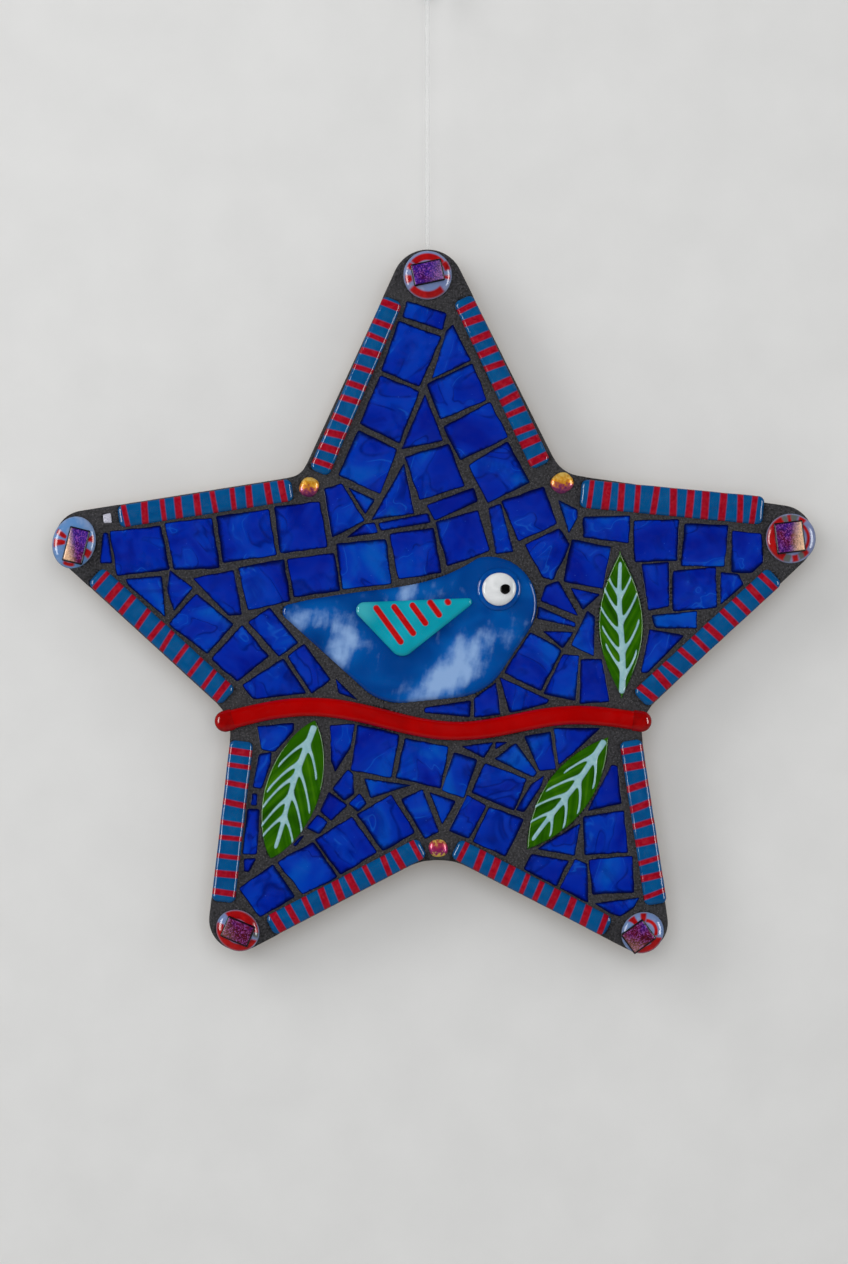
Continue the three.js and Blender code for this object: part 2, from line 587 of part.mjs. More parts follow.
const weldDistance = 1e-4;
function toSolid(geometry) {
  const bare = geometry.clone();
  bare.deleteAttribute('normal');
  bare.deleteAttribute('uv');
  const welded = mergeVertices(bare, weldDistance);
  return new wasm.Manifold(new wasm.Mesh({
    numProp: 3,
    vertProperties: new Float32Array(welded.attributes.position.array),
    triVerts: new Uint32Array(welded.index.array),
  }));
}
function toGeometry(solid) {
  const mesh = solid.getMesh();
  const geometry = new THREE.BufferGeometry();
  geometry.setAttribute('position', new THREE.BufferAttribute(mesh.vertProperties, 3));
  geometry.setIndex(new THREE.BufferAttribute(mesh.triVerts, 1));
  geometry.computeVertexNormals();
  return geometry;
}

const finishes = {
  board: { color: 0x9a8163, roughness: 0.85, metalness: 0 },
  grout: { color: 0x464644, roughness: 0.95, metalness: 0 },
  stripGlass: { color: 0x0a5a96, roughness: 0.15, metalness: 0 },
  cabochonGlass: { color: 0x788cb4, roughness: 0.08, metalness: 0 },
  dichroicGlass: { color: 0x6e288c, roughness: 0.2, metalness: 0.6 },
  nuggetGlass: { color: 0xb8862e, roughness: 0.1, metalness: 0.5 },
  paleGlass: { color: 0xd8dae0, roughness: 0.3, metalness: 0 },
  redGlass: { color: 0xa50000, roughness: 0.12, metalness: 0 },
  darkRedGlass: { color: 0x7a0505, roughness: 0.12, metalness: 0 },
  birdGlass: { color: 0x0050aa, roughness: 0.12, metalness: 0 },
  wingGlass: { color: 0x00a0aa, roughness: 0.12, metalness: 0 },
  eyeBaseGlass: { color: 0x1e5aa8, roughness: 0.08, metalness: 0 },
  whiteGlass: { color: 0xf0f0ec, roughness: 0.12, metalness: 0 },
  blackGlass: { color: 0x101010, roughness: 0.12, metalness: 0 },
  leafGlass: { color: 0x326e00, roughness: 0.15, metalness: 0 },
  clearLine: { color: 0xdfe6ea, roughness: 0.15, metalness: 0 },
  metal: { color: 0xa9abad, roughness: 0.35, metalness: 1 },
};
function piece(name, geometry, finish) {
  const mesh = new THREE.Mesh(geometry, new THREE.MeshStandardMaterial(finishes[finish]));
  mesh.name = name;
  return mesh;
}

// The hole that the cord sits in, bored down into the top edge.
function cordHole() {
  const bore = new THREE.CylinderGeometry(cordBore / 2, cordBore / 2, 2 * cordHoleDepth, boreSides);
  return toSolid(bore.translate(cordX, starPoints[0].reach + starPoints[0].cap, boardThickness / 2));
}

function backingBoard() {
  const solid = toSolid(plate(starOutline(groutSkin), 0, boardThickness)).subtract(cordHole());
  return piece('backing_board', toGeometry(solid), 'board');
}

// Grout over the front and round the edge of the board, with a pocket for every piece set in it and
// with the field tiles standing a little proud.
function mosaicField() {
  const stripPockets = strips.map((strip) => {
    const { inward } = starSide(strip.on);
    const outline = stripOutline(strip, seatGap);
    return band([...outline, ...outline.map((p) => p.clone().addScaledVector(inward, -pocketOverrun))]);
  });
  const pockets = [
    ...stripPockets,
    ...starPoints.map((point) => cabochonOutline(point, seatGap)),
    ...nuggets.map((nugget) => nuggetOutline(nugget, seatGap)),
    paleChipOutline(seatGap),
    twigOutline(twig.left - seatGap, twig.right + seatGap, twigSteps, twig.width / 2 + seatGap),
    twigEndOutline(-1, seatGap),
    twigEndOutline(1, seatGap),
    birdOutline(seatGap),
    ...leaves.map((leaf) => grown(leafOutline(leaf), seatGap)),
  ];
  const skin = toSolid(plate(starOutline(0), seatGap, groutTop));
  const boardRoom = toSolid(plate(starOutline(groutSkin - seatGap), 0, boardThickness + seatGap));
  const grout = pockets.reduce(
    (solid, outline) => solid.subtract(toSolid(plate(outline, bedTop, tileTop + pocketOverrun))),
    skin.subtract(boardRoom).subtract(cordHole()),
  );
  const tiles = layTiles().map((outline) => toSolid(plate(outline, bedTop - seatGap, tileTop)));
  const solid = tiles.reduce((field, tile) => field.add(tile), grout);
  return piece('mosaic_field', toGeometry(solid), 'grout');
}

// A strip is a straight bar of glass with a rounded front.
function stripPiece(strip) {
  const plan = stripPlan(strip, 0);
  const section = new THREE.Shape(barSection(plan.width, stripWall, stripCrown, stripArcSteps));
  const geometry = new THREE.ExtrudeGeometry(section, { depth: plan.length, bevelEnabled: false });
  geometry.translate(0, 0, -plan.length / 2).rotateX(Math.PI / 2);
  const mesh = piece(`strip_${strip.name}`, geometry, 'stripGlass');
  mesh.position.set(plan.middle.x, plan.middle.y, seat);
  mesh.rotation.z = deg(plan.turn + 90);
  return mesh;
}

function cabochonPieces(point) {
  const { middle, turn, across } = cabochonPlan(point);
  const chip = chips[point.name];
  const stone = dome(across, cabochonHeight, cabochonFlat, cabochonSides);
  const glass = piece(`cabochon_${point.name}`, stone, 'cabochonGlass');
  glass.position.set(middle.x, middle.y, seat);
  glass.rotation.z = deg(turn);
  const square = softPlate(rectangle(...chip.shift, ...chip.size, chip.turn), 0, chipThickness, chipBevel, 1);
  const dichroic = piece(`chip_${point.name}`, square, 'dichroicGlass');
  dichroic.position.set(middle.x, middle.y, seat + cabochonHeight + seatGap);
  return [glass, dichroic];
}

function nuggetPiece(nugget) {
  const middle = polar(nugget.reach, nugget.angle);
  const geometry = dome([nugget.across, nugget.across], nuggetHeight, 0, nuggetSides);
  const mesh = piece(`nugget_${nugget.name}`, geometry, 'nuggetGlass');
  mesh.position.set(middle.x, middle.y, seat);
  return mesh;
}

// A rounded bar's section, seen end on: a flat back, upright walls and a crowned front.
function barSection(width, wall, crown, steps) {
  const front = Array.from({ length: steps + 1 }, (_, i) => {
    const angle = (Math.PI * i) / steps;
    return vec((width / 2) * Math.cos(angle), wall + crown * Math.sin(angle));
  });
  return [vec(-width / 2, 0), vec(width / 2, 0), ...front];
}

// The twig carries its section along a smooth line, with the front of the section turned up.
function twigPieces() {
  const line = Array.from({ length: twigSteps + 1 }, (_, i) => {
    const { middle } = twigAt(THREE.MathUtils.lerp(twig.left, twig.right, i / twigSteps));
    return new THREE.Vector3(middle.x, middle.y, seat);
  });
  const section = barSection(twig.width, twigWall, twigCrown, twigArcSteps).map(({ x, y }) => vec(-y, x));
  const rod = new THREE.ExtrudeGeometry(new THREE.Shape(section), {
    steps: twigSteps,
    extrudePath: new THREE.CatmullRomCurve3(line),
    bevelEnabled: false,
  });
  const end = (sign) => softPlate(twigEndOutline(sign, 0), seat, twigWall + twigCrown, twigCrown / 2);
  return [
    piece('twig', rod, 'redGlass'),
    piece('twig_end_left', end(-1), 'darkRedGlass'),
    piece('twig_end_right', end(1), 'darkRedGlass'),
  ];
}

function birdPieces() {
  const body = softPlate(birdOutline(0), seat, birdThickness, birdBevel);
  const wing = softPlate(bandOfCircles(wingCircles, 0), 0, wingThickness, wingBevel);
  const onBody = seat + birdThickness + seatGap;
  const onBase = onBody + eyeBaseHeight + seatGap;
  const onWhite = onBase + eyeWhiteHeight + seatGap;
  const round = (across, height, sides, flat) => dome([across, across], height, flat, sides);
  const placed = (name, geometry, finish, x, y, z) => {
    const mesh = piece(name, geometry, finish);
    mesh.position.set(x, y, z);
    return mesh;
  };
  const base = round(eye.base, eyeBaseHeight, eyeSides, eyeBaseFlat);
  const white = round(eye.white, eyeWhiteHeight, eyeSides, eyeFlat);
  const pupil = round(eye.pupil, eyePupilHeight, pupilSides, eyeFlat);
  return [
    piece('bird_body', body, 'birdGlass'),
    placed('bird_wing', wing, 'wingGlass', 0, 0, onBody),
    placed('eye_base', base, 'eyeBaseGlass', eye.x, eye.y, onBody),
    placed('eye_white', white, 'whiteGlass', eye.x, eye.y, onBase),
    placed('eye_pupil', pupil, 'blackGlass', eye.x + eye.pupilShift, eye.y, onWhite),
  ];
}

const leafPiece = (leaf) => piece(
  `leaf_${leaf.name}`,
  softPlate(leafOutline(leaf), seat, leafThickness, leafBevel, 1),
  'leafGlass',
);

function cordTube(diameter) {
  const points = cordRoute.map(([x, y]) => new THREE.Vector3(x, y, boardThickness / 2));
  const route = new THREE.CatmullRomCurve3(points);
  const section = new THREE.Shape(circle(0, 0, diameter / 2, cordSides));
  const steps = Math.round(route.getLength() / cordStep);
  return new THREE.ExtrudeGeometry(section, { steps, extrudePath: route, bevelEnabled: false });
}
function cordPieces() {
  const outline = rectangle(
    (cordX + cordRoute.at(-1)[0]) / 2,
    (sleeve.bottom + sleeve.top) / 2,
    sleeve.width,
    sleeve.top - sleeve.bottom,
    0,
  );
  const block = softPlate(outline, (boardThickness - sleeve.depth) / 2, sleeve.depth, sleeve.bevel);
  const crimp = toSolid(block).subtract(toSolid(cordTube(cordDiameter + 2 * seatGap)));
  return [
    piece('hanging_cord', cordTube(cordDiameter), 'clearLine'),
    piece('cord_sleeve', toGeometry(crimp), 'metal'),
  ];
}

const panel = new THREE.Group();
panel.name = 'star_mosaic_panel';
panel.add(
  backingBoard(),
  mosaicField(),
  ...strips.map(stripPiece),
  ...starPoints.flatMap(cabochonPieces),
  ...nuggets.map(nuggetPiece),
  piece('pale_chip', plate(paleChipOutline(0), seat, seat + paleChipThickness), 'paleGlass'),
  ...twigPieces(),
  ...birdPieces(),
  ...leaves.map(leafPiece),
  ...cordPieces(),
);
// Laid out flat, then stood up: the picture's y becomes +Z and its front looks towards -Y.
panel.rotation.x = Math.PI / 2;

export default panel;
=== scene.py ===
import bpy
import numpy as np
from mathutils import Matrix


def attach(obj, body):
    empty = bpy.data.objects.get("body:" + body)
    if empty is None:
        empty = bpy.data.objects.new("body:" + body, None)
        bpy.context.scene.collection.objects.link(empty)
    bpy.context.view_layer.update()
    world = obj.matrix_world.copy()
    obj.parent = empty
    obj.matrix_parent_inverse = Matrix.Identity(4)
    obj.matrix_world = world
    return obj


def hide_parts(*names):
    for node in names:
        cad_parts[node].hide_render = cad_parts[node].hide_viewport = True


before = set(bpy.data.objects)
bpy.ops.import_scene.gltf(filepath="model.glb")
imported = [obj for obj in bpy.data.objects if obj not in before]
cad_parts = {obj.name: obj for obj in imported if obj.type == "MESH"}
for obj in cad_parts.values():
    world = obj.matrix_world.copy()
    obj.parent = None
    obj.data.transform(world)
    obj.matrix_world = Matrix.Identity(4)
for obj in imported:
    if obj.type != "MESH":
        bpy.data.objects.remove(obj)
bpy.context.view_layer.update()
scene = bpy.context.scene
scene.view_settings.view_transform = "Standard"

# The picture is laid out flat, as in the part: x to the right, y up, and height above the back face,
# all in millimetres. In the row frame that is (x, -height, y) in metres.


# layout points (x, y, height) to row frame points
def toWorld(points):
    p = np.asarray(points, float)
    return np.stack([p[..., 0], -p[..., 2], p[..., 1]], axis=-1) / 1000


# the corners of a solid's mesh the other way, as layout points
def meshCorners(mesh):
    co = np.empty(len(mesh.vertices) * 3)
    mesh.vertices.foreach_get("co", co)
    x, y, z = co.reshape(-1, 3).T * 1000
    return np.stack([x, z, -y], axis=-1)


# the corners of a solid, each one once
def cadPoints(nodeName):
    return np.unique(meshCorners(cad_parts[nodeName].data).round(4), axis=0)


# a display colour in 0-255 as the linear one that sockets hold
def tone(r, g, b):
    c = np.array([r, g, b]) / 255
    linear = np.where(c <= 0.04045, c / 12.92, ((c + 0.055) / 1.055) ** 2.4)
    return (*linear.tolist(), 1.0)


# directions at angles: cosine and sine
def directions(angle):
    return np.stack([np.cos(angle), np.sin(angle)], axis=-1)


# the point at a reach and an angle in degrees from the middle: its direction times the reach
def polar(reach, angle):
    return reach * directions(np.radians(angle))


# a quarter turn to the left of a direction: (x, y) becomes (-y, x)
def leftOf(way):
    return np.array([-way[1], way[0]])


# angles all round, evenly spaced, the last one short of the first
def fullTurn(count):
    return np.linspace(0, 2 * np.pi, count, endpoint=False)


# flat points with a height of their own
def atHeight(flat, height):
    return np.concatenate([flat, height[..., None]], axis=-1)


# 0 below low, 1 above high, and the S-shaped cubic between them
def easeBetween(low, high, x):
    t = np.clip((x - low) / (high - low), 0, 1)
    return t * t * (3 - 2 * t)


# a repeatable gentle wave over the plane: the mean of several sines in random directions
def waver(x, y, wavelength, seed, waves=6):
    rng = np.random.default_rng(seed)
    turn = rng.uniform(0, 2 * np.pi, waves)
    rate = 2 * np.pi / (wavelength * rng.uniform(0.7, 1.5, waves))
    phase = rng.uniform(0, 2 * np.pi, waves)
    x, y = np.asarray(x)[..., None], np.asarray(y)[..., None]
    return np.sin((x * np.cos(turn) + y * np.sin(turn)) * rate + phase).sum(-1) / waves


# camera: straight at the panel, so far off that 848 x 1264 pixels take in 334.7 x 498.9 mm of it
cameraView = {"distance": 1800.0, "viewHeight": 498.9, "aim": (-3.2, 3.2, 15.9), "sensor": 36.0}


# the lens is to the sensor as the distance is to the height in view
def placeCamera(view):
    data = bpy.data.cameras.new("camera")
    data.sensor_fit = "VERTICAL"
    data.sensor_height = view["sensor"]
    data.lens = view["sensor"] * view["distance"] / view["viewHeight"]
    camera = bpy.data.objects.new("camera", data)
    x, y, height = view["aim"]
    camera.location = toWorld((x, y, height + view["distance"]))
    camera.rotation_euler = (np.pi / 2, 0, 0)
    scene.collection.objects.link(camera)
    scene.camera = camera


placeCamera(cameraView)
print("camera placed")


# adds one node; settings are its properties, and inputs are plain values or sockets to link from
def addNode(tree, kind, inputs=(), **settings):
    node = tree.nodes.new(kind)
    for key, value in settings.items():
        setattr(node, key, value)
    for key, value in dict(inputs).items():
        if isinstance(value, bpy.types.NodeSocket):
            tree.links.new(value, node.inputs[key])
        else:
            node.inputs[key].default_value = value
    return node


# first colour where the factor is 0, second where it is 1
def blendColour(tree, factor, first, second):
    inputs = {0: factor, 6: first, 7: second}
    return addNode(tree, "ShaderNodeMix", inputs, data_type="RGBA").outputs[2]


# one sum, product or the like of two values
def calc(tree, operation, first, second=0.0):
    return addNode(tree, "ShaderNodeMath", {0: first, 1: second}, operation=operation).outputs[0]


# a smooth step of a value between two limits, put out between low and high
def stepValue(tree, value, start, end, low=0.0, high=1.0):
    inputs = {"Value": value, "From Min": start, "From Max": end, "To Min": low, "To Max": high}
    return addNode(tree, "ShaderNodeMapRange", inputs, interpolation_type="SMOOTHSTEP").outputs[0]


# colours at places (place, colour) along a factor
def colourRamp(tree, factor, stops):
    node = addNode(tree, "ShaderNodeValToRGB", {"Fac": factor})
    elements = node.color_ramp.elements
    while len(elements) < len(stops):
        elements.new(0.5)
    for element, (place, colour) in zip(elements, stops):
        element.position = place
        element.color = colour
    return node.outputs["Color"]


# cloudy noise, from 0 to 1 round one half
def noise(tree, vector, scale, detail=2.0, distortion=0.0):
    inputs = {"Vector": vector, "Scale": scale, "Detail": detail, "Distortion": distortion}
    return addNode(tree, "ShaderNodeTexNoise", inputs).outputs["Fac"]


# scattered cells: how far a place lies from its cell's middle, and a colour for each cell
def cellField(tree, vector, scale):
    return addNode(tree, "ShaderNodeTexVoronoi", {"Vector": vector, "Scale": scale}).outputs


# a value that the piece's own points carry
def attribute(tree, name, output="Fac"):
    return addNode(tree, "ShaderNodeAttribute", attribute_name=name).outputs[output]


# an empty node group with its sockets: inputs are (name, kind, value), outputs are the names of values
def newGroup(name, inputs, outputs):
    tree = bpy.data.node_groups.new(name, "ShaderNodeTree")
    for socketName, kind, value in inputs:
        socket = tree.interface.new_socket(socketName, in_out="INPUT", socket_type=kind)
        if value is not None:
            socket.default_value = value
    for socketName in outputs:
        tree.interface.new_socket(socketName, in_out="OUTPUT", socket_type="NodeSocketFloat")
    return tree, tree.nodes.new("NodeGroupInput").outputs, tree.nodes.new("NodeGroupOutput").inputs


# how sheet glass flows: long twisted streaks, broad swirls, a slow ripple of the surface, and smudges
def glassFlowGroup():
    sockets = [
        ("Vector", "NodeSocketVector", None),
        ("Scale", "NodeSocketFloat", 120.0),
        ("Twist", "NodeSocketFloat", 1.0),
    ]
    tree, given, out = newGroup("glassFlow", sockets, ["Streak", "Swirl", "Ripple", "Smudge"])
    vector, scale, twist = given["Vector"], given["Scale"], given["Twist"]
    rows = [("Streak", 1.0, 4.0), ("Swirl", 0.45, 2.0), ("Ripple", 0.7, 1.0), ("Smudge", 3.5, 3.0)]
    for name, share, detail in rows:
        field = noise(tree, vector, calc(tree, "MULTIPLY", scale, share), detail, twist)
        tree.links.new(field, out[name])
    return tree


# sand bound in cement: a fine speckle, single grains, and the height that both give
def sandGrainGroup():
    sockets = [("Vector", "NodeSocketVector", None), ("Scale", "NodeSocketFloat", 900.0)]
    tree, given, out = newGroup("sandGrain", sockets, ["Speckle", "Grain", "Height"])
    fine = noise(tree, given["Vector"], given["Scale"], 4.0)
    cells = cellField(tree, given["Vector"], given["Scale"])["Distance"]
    grain = stepValue(tree, cells, 0.32, 0.12)
    height = calc(tree, "ADD", fine, calc(tree, "MULTIPLY", grain, 0.6))
    for name, value in [("Speckle", fine), ("Grain", grain), ("Height", height)]:
        tree.links.new(value, out[name])
    return tree


glassFlow = glassFlowGroup()
sandGrain = sandGrainGroup()


# a new material, its node tree and the sockets of its shader
def newMaterial(name):
    material = bpy.data.materials.new(name)
    material.use_nodes = True
    tree = material.node_tree
    return material, tree, tree.nodes["Principled BSDF"].inputs


# places in metres, the same for every piece, since all stand at the origin
def objectCoords(tree):
    return addNode(tree, "ShaderNodeTexCoord").outputs["Object"]


# a normal tilted by a field of heights
def bumpFrom(tree, height, strength, distance):
    inputs = {"Height": height, "Strength": strength, "Distance": distance}
    return addNode(tree, "ShaderNodeBump", inputs).outputs["Normal"]


# links what varies over a surface: its colour, its roughness and, if it has one, its bump
def linkFinish(tree, shader, colour, rough, normal=None):
    tree.links.new(colour, shader["Base Color"])
    tree.links.new(rough, shader["Roughness"])
    if normal is not None:
        tree.links.new(normal, shader["Normal"])


# sets what is the same all over a surface
def setFinish(shader, plain):
    for name, value in plain.items():
        shader[name].default_value = value


# Fused glass: paint makes its colour from the flow of the sheet; the surface ripples a little, and
# smudges vary its gloss.
def glassMaterial(name, paint, gloss=0.07, ripple=0.25, scale=120.0, twist=1.0, vector=None, shine=0.5):
    material, tree, shader = newMaterial(name)
    coords = attribute(tree, vector, "Vector") if vector else objectCoords(tree)
    inputs = {"Vector": coords, "Scale": scale, "Twist": twist}
    flow = addNode(tree, "ShaderNodeGroup", inputs, node_tree=glassFlow).outputs
    rough = stepValue(tree, flow["Smudge"], 0.3, 0.75, 0.7 * gloss, 1.8 * gloss)
    bump = bumpFrom(tree, flow["Ripple"], ripple, 0.0012)
    linkFinish(tree, shader, paint(tree, flow, coords), rough, bump)
    setFinish(shader, {"IOR": 1.5, "Specular IOR Level": shine})
    return material


# a paint that is one ramp of colours over a field of the flow
def plainPaint(field, stops):
    return lambda tree, flow, coords: colourRamp(tree, flow[field], stops)


# Closed rings of points (rings x around x 3), from the back forward, closed at both ends by a point. A
# skin is its points and the index arrays of its faces.
def ringSkin(rings):
    count, around = rings.shape[:2]
    grid = np.arange(count * around).reshape(count, around)
    beside = np.roll(grid, -1, axis=1)
    quads = np.stack([grid[:-1], beside[:-1], beside[1:], grid[1:]], axis=-1).reshape(-1, 4)
    first = np.full(around, count * around)
    startFan = np.stack([first, beside[0], grid[0]], axis=-1)
    endFan = np.stack([grid[-1], beside[-1], first + 1], axis=-1)
    points = np.concatenate([rings.reshape(-1, 3), rings[[0, -1]].mean(1)])
    return points, [quads, startFan, endFan]


# a value for every point of such a skin: one for each ring point, and its mean at the two ends
def ringValues(values):
    return np.concatenate([values.ravel(), values[[0, -1]].mean(1)])


# a sheet of points (rows x columns x 3) with a wall dropped from its border to a flat underside
def sheetSkin(sheet, base):
    rows, columns = sheet.shape[:2]
    grid = np.arange(rows * columns).reshape(rows, columns)
    quads = [grid[:-1, :-1], grid[1:, :-1], grid[1:, 1:], grid[:-1, 1:]]
    border = borderOf(grid)
    foot = np.arange(len(border)) + rows * columns
    footNext, borderNext = np.roll(foot, -1), np.roll(border, -1)
    wall = np.stack([foot, footNext, borderNext, border], axis=-1)
    middle = np.full(len(border), rows * columns + len(border))
    under = np.stack([middle, footNext, foot], axis=-1)
    edge = sheet.reshape(-1, 3)[border] * (1, 1, 0) + (0, 0, base)
    points = np.concatenate([sheet.reshape(-1, 3), edge, edge.mean(0)[None]])
    return points, [np.stack(quads, axis=-1).reshape(-1, 4), wall, under]


# the border of a grid, once round: up one side, along the end, down the other side and back
def borderOf(grid):
    return np.concatenate([grid[:, 0], grid[-1, 1:], grid[-2::-1, -1], grid[0, -2:0:-1]])


# a value for every point of such a sheet: its own, the border's again for the foot, and 0 underneath
def sheetValues(values):
    return np.concatenate([values.ravel(), borderOf(values), [0]])


sharpAngle = 50.0  # a bend beyond this is an edge


# puts a finished skin into the scene, dressed, riding on the panel and standing for its solids
def addPiece(name, skin, material, nodes, values=None):
    points, faces = skin
    mesh = bpy.data.meshes.new(name)
    mesh.from_pydata(toWorld(points).tolist(), [], sum((part.tolist() for part in faces), []))
    mesh.polygons.foreach_set("use_smooth", np.ones(len(mesh.polygons), bool))
    for key, value in (values or {}).items():
        isVector = value.ndim == 2
        layer = mesh.attributes.new(key, "FLOAT_VECTOR" if isVector else "FLOAT", "POINT")
        layer.data.foreach_set("vector" if isVector else "value", value.astype(np.float32).ravel())
    mesh.materials.append(material)
    mesh.update()
    mesh.set_sharp_from_angle(angle=np.radians(sharpAngle))
    piece = bpy.data.objects.new(name, mesh)
    scene.collection.objects.link(piece)
    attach(piece, "root")
    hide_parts(*nodes)
    return piece


# a piece of glass from rings: one skin, and a value of each kind for every ring point
def addCushion(nodeName, rings, material, values=None):
    values = {key: ringValues(value) for key, value in (values or {}).items()}
    addPiece(f"{nodeName}_glass", ringSkin(rings), material, [nodeName], values)


# a piece of glass from a sheet, in the same way
def addSheet(nodeName, sheet, base, material, values):
    values = {key: sheetValues(value) for key, value in values.items()}
    addPiece(f"{nodeName}_glass", sheetSkin(sheet, base), material, [nodeName], values)


# points evenly spaced along a closed outline
def evenOutline(corners, count):
    loop = np.vstack([corners, corners[:1]])
    along = np.concatenate([[0], np.cumsum(np.linalg.norm(np.diff(loop, axis=0), axis=1))])
    at = np.linspace(0, along[-1], count, endpoint=False)
    return np.stack([np.interp(at, along, loop[:, k]) for k in range(2)], axis=-1)


# how far points lie inside an outline: the distance to its nearest side, negative outside
def depthInside(points, outline):
    start, end = outline, np.roll(outline, -1, axis=0)
    run = end - start
    away = points[..., None, :] - start
    share = np.clip((away * run).sum(-1) / (run * run).sum(-1), 0, 1)
    near = np.linalg.norm(away - share[..., None] * run, axis=-1).min(-1)
    x, y = points[..., 0, None], points[..., 1, None]
    crosses = (start[:, 1] > y) != (end[:, 1] > y)
    slope = run[:, 0] / np.where(run[:, 1] == 0, 1e-9, run[:, 1])
    inside = (crosses & (x < start[:, 0] + (y - start[:, 1]) * slope)).sum(-1) % 2 == 1
    return np.where(inside, near, -near)


# a convex outline with soft corners: each corner becomes a parabola between points cut back on its
# two sides, and the sides between are divided evenly
def softCorners(corners, cutBack, cornerSteps=5, sideSteps=8):
    before, after = np.roll(corners, 1, axis=0) - corners, np.roll(corners, -1, axis=0) - corners
    lengths = np.linalg.norm(np.stack([before, after]), axis=-1)
    cut = np.minimum(cutBack, 0.4 * lengths.min(0))
    start = corners + before * (cut / lengths[0])[:, None]
    end = corners + after * (cut / lengths[1])[:, None]
    t = np.linspace(0, 1, cornerSteps)[:, None]
    bend = (1 - t) ** 2 * start[:, None] + 2 * t * (1 - t) * corners[:, None] + t**2 * end[:, None]
    s = np.linspace(0, 1, sideSteps + 2)[1:-1, None]
    side = end[:, None] + s * (np.roll(start, -1, axis=0) - end)[:, None]
    return np.concatenate([bend, side], axis=1).reshape(-1, 2)


# the height of a glass surface at a depth inside its outline: a quarter ellipse over the rim
def rimHeight(depth, rimWidth, rise):
    return rise * np.sqrt(1 - (1 - np.clip(depth / rimWidth, 0, 1)) ** 2)


# A cushion of glass on an outline: an upright wall, then rings that shrink to the middle, lifted by
# the rim and by a crown that grows towards the middle. The rim follows an outline of its own where a
# piece carries on past one of its sides.
def cushion(outline, base, form, shares, middle=None, rimOutline=None):
    middle = outline.mean(0) if middle is None else np.asarray(middle)
    flat = middle + (outline - middle) * shares[:, None, None]
    depth = np.maximum(depthInside(flat, outline if rimOutline is None else rimOutline), 0)
    if rimOutline is None:
        depth[0] = 0
    crown = form["crown"] * (1 - shares[:, None] ** 2)
    height = base + form["wall"] + rimHeight(depth, *form["rim"]) + crown
    rings = atHeight(flat, height)
    foot = atHeight(outline, np.full(len(outline), base))[None]
    return np.concatenate([foot, rings]), np.concatenate([depth[:1], depth])


# makes a cushion's face uneven: its rings inside the rim rise and fall with a gentle wave
def wrinkleFace(rings, amount, wavelength, seed):
    face = rings[2:]
    face[..., 2] += amount * waver(face[..., 0], face[..., 1], wavelength, seed)


# shares of the way in from an outline, close together at the rim
def ringShares(count, crowding=1.8):
    return 1 - np.linspace(0, 0.985, count) ** crowding


# the band stretched round circles (x, y, radius): in each direction, the furthest point of any
def bandOfCircles(circles, count=1440):
    way = directions(fullTurn(count))
    reach = way @ circles[:, :2].T + circles[:, 2]
    furthest = circles[reach.argmax(1)]
    return furthest[:, :2] + way * furthest[:, 2:]


# hanging cord: rises from the top edge, makes a loop above the picture and ends in a crimped sleeve
hangingCord = {
    "diameter": 1.6,
    "height": 5.5,
    "exit": (-1.9, 154.3, 5.5),
    "length": 175.7,
    "step": 1.0,
    "route": [
        (-1.9, 147), (-1.9, 154), (-1.9, 161), (-1.9, 168), (-1.9, 175), (-1.9, 182), (-1.9, 189),
        (-1.9, 196), (-1.9, 203), (-1.9, 210), (-1.9, 217), (-1.9, 224), (-1.9, 231), (-1.9, 238),
        (-1.9, 245), (-1.9, 252), (-1.9, 258), (-2.1, 262), (-3.6, 267), (-6.9, 272.2),
        (-8.2, 277.5), (-6.0, 282.6), (-0.9, 285.0), (4.3, 282.6), (6.5, 277.5), (5.0, 272.2),
        (1.9, 267), (0.5, 262), (0.3, 257.4),
    ],
}
cordSleeve = {
    "middle": (-0.8, 259.0), "width": 5.6, "depth": 3.6, "length": 6.8, "rows": 41, "around": 40,
    "crimps": (-1.5, 1.5), "crimpDepth": 0.32, "crimpReach": 0.55, "lip": 0.35, "squareness": 0.7,
}


# a smooth line through points: cubic pieces whose slope at a point is half the step between its
# neighbours
def smoothLine(points, step):
    p = np.asarray(points, float)
    slope = np.gradient(p, axis=0)
    count = np.ceil(np.linalg.norm(np.diff(p, axis=0), axis=1).max() / step).astype(int)
    t = np.linspace(0, 1, count, endpoint=False)[:, None]
    a, b, m, n = p[:-1, None], p[1:, None], slope[:-1, None], slope[1:, None]
    curve = (
        (2 * t**3 - 3 * t**2 + 1) * a + (t**3 - 2 * t**2 + t) * m
        + (3 * t**2 - 2 * t**3) * b + (t**3 - t**2) * n
    )
    return np.vstack([curve.reshape(-1, p.shape[1]), p[-1:]])


# clear nylon: the middle lets the wall through, and the edges show white, a painted reflection
def clearLineMaterial():
    material, tree, shader = newMaterial("clear_nylon")
    drawn = noise(tree, objectCoords(tree), 40.0, 1.0)
    tint = colourRamp(tree, drawn, [(0.3, tone(244, 247, 248)), (0.7, tone(252, 253, 253))])
    linkFinish(tree, shader, tint, stepValue(tree, drawn, 0.3, 0.7, 0.16, 0.24))
    facing = addNode(tree, "ShaderNodeLayerWeight", {"Blend": 0.5}).outputs["Facing"]
    # painted reflection: whiter and more opaque towards the edges
    tree.links.new(stepValue(tree, facing, 0.3, 0.85, 0.12, 0.85), shader["Alpha"])
    setFinish(shader, {"IOR": 1.4})
    return material


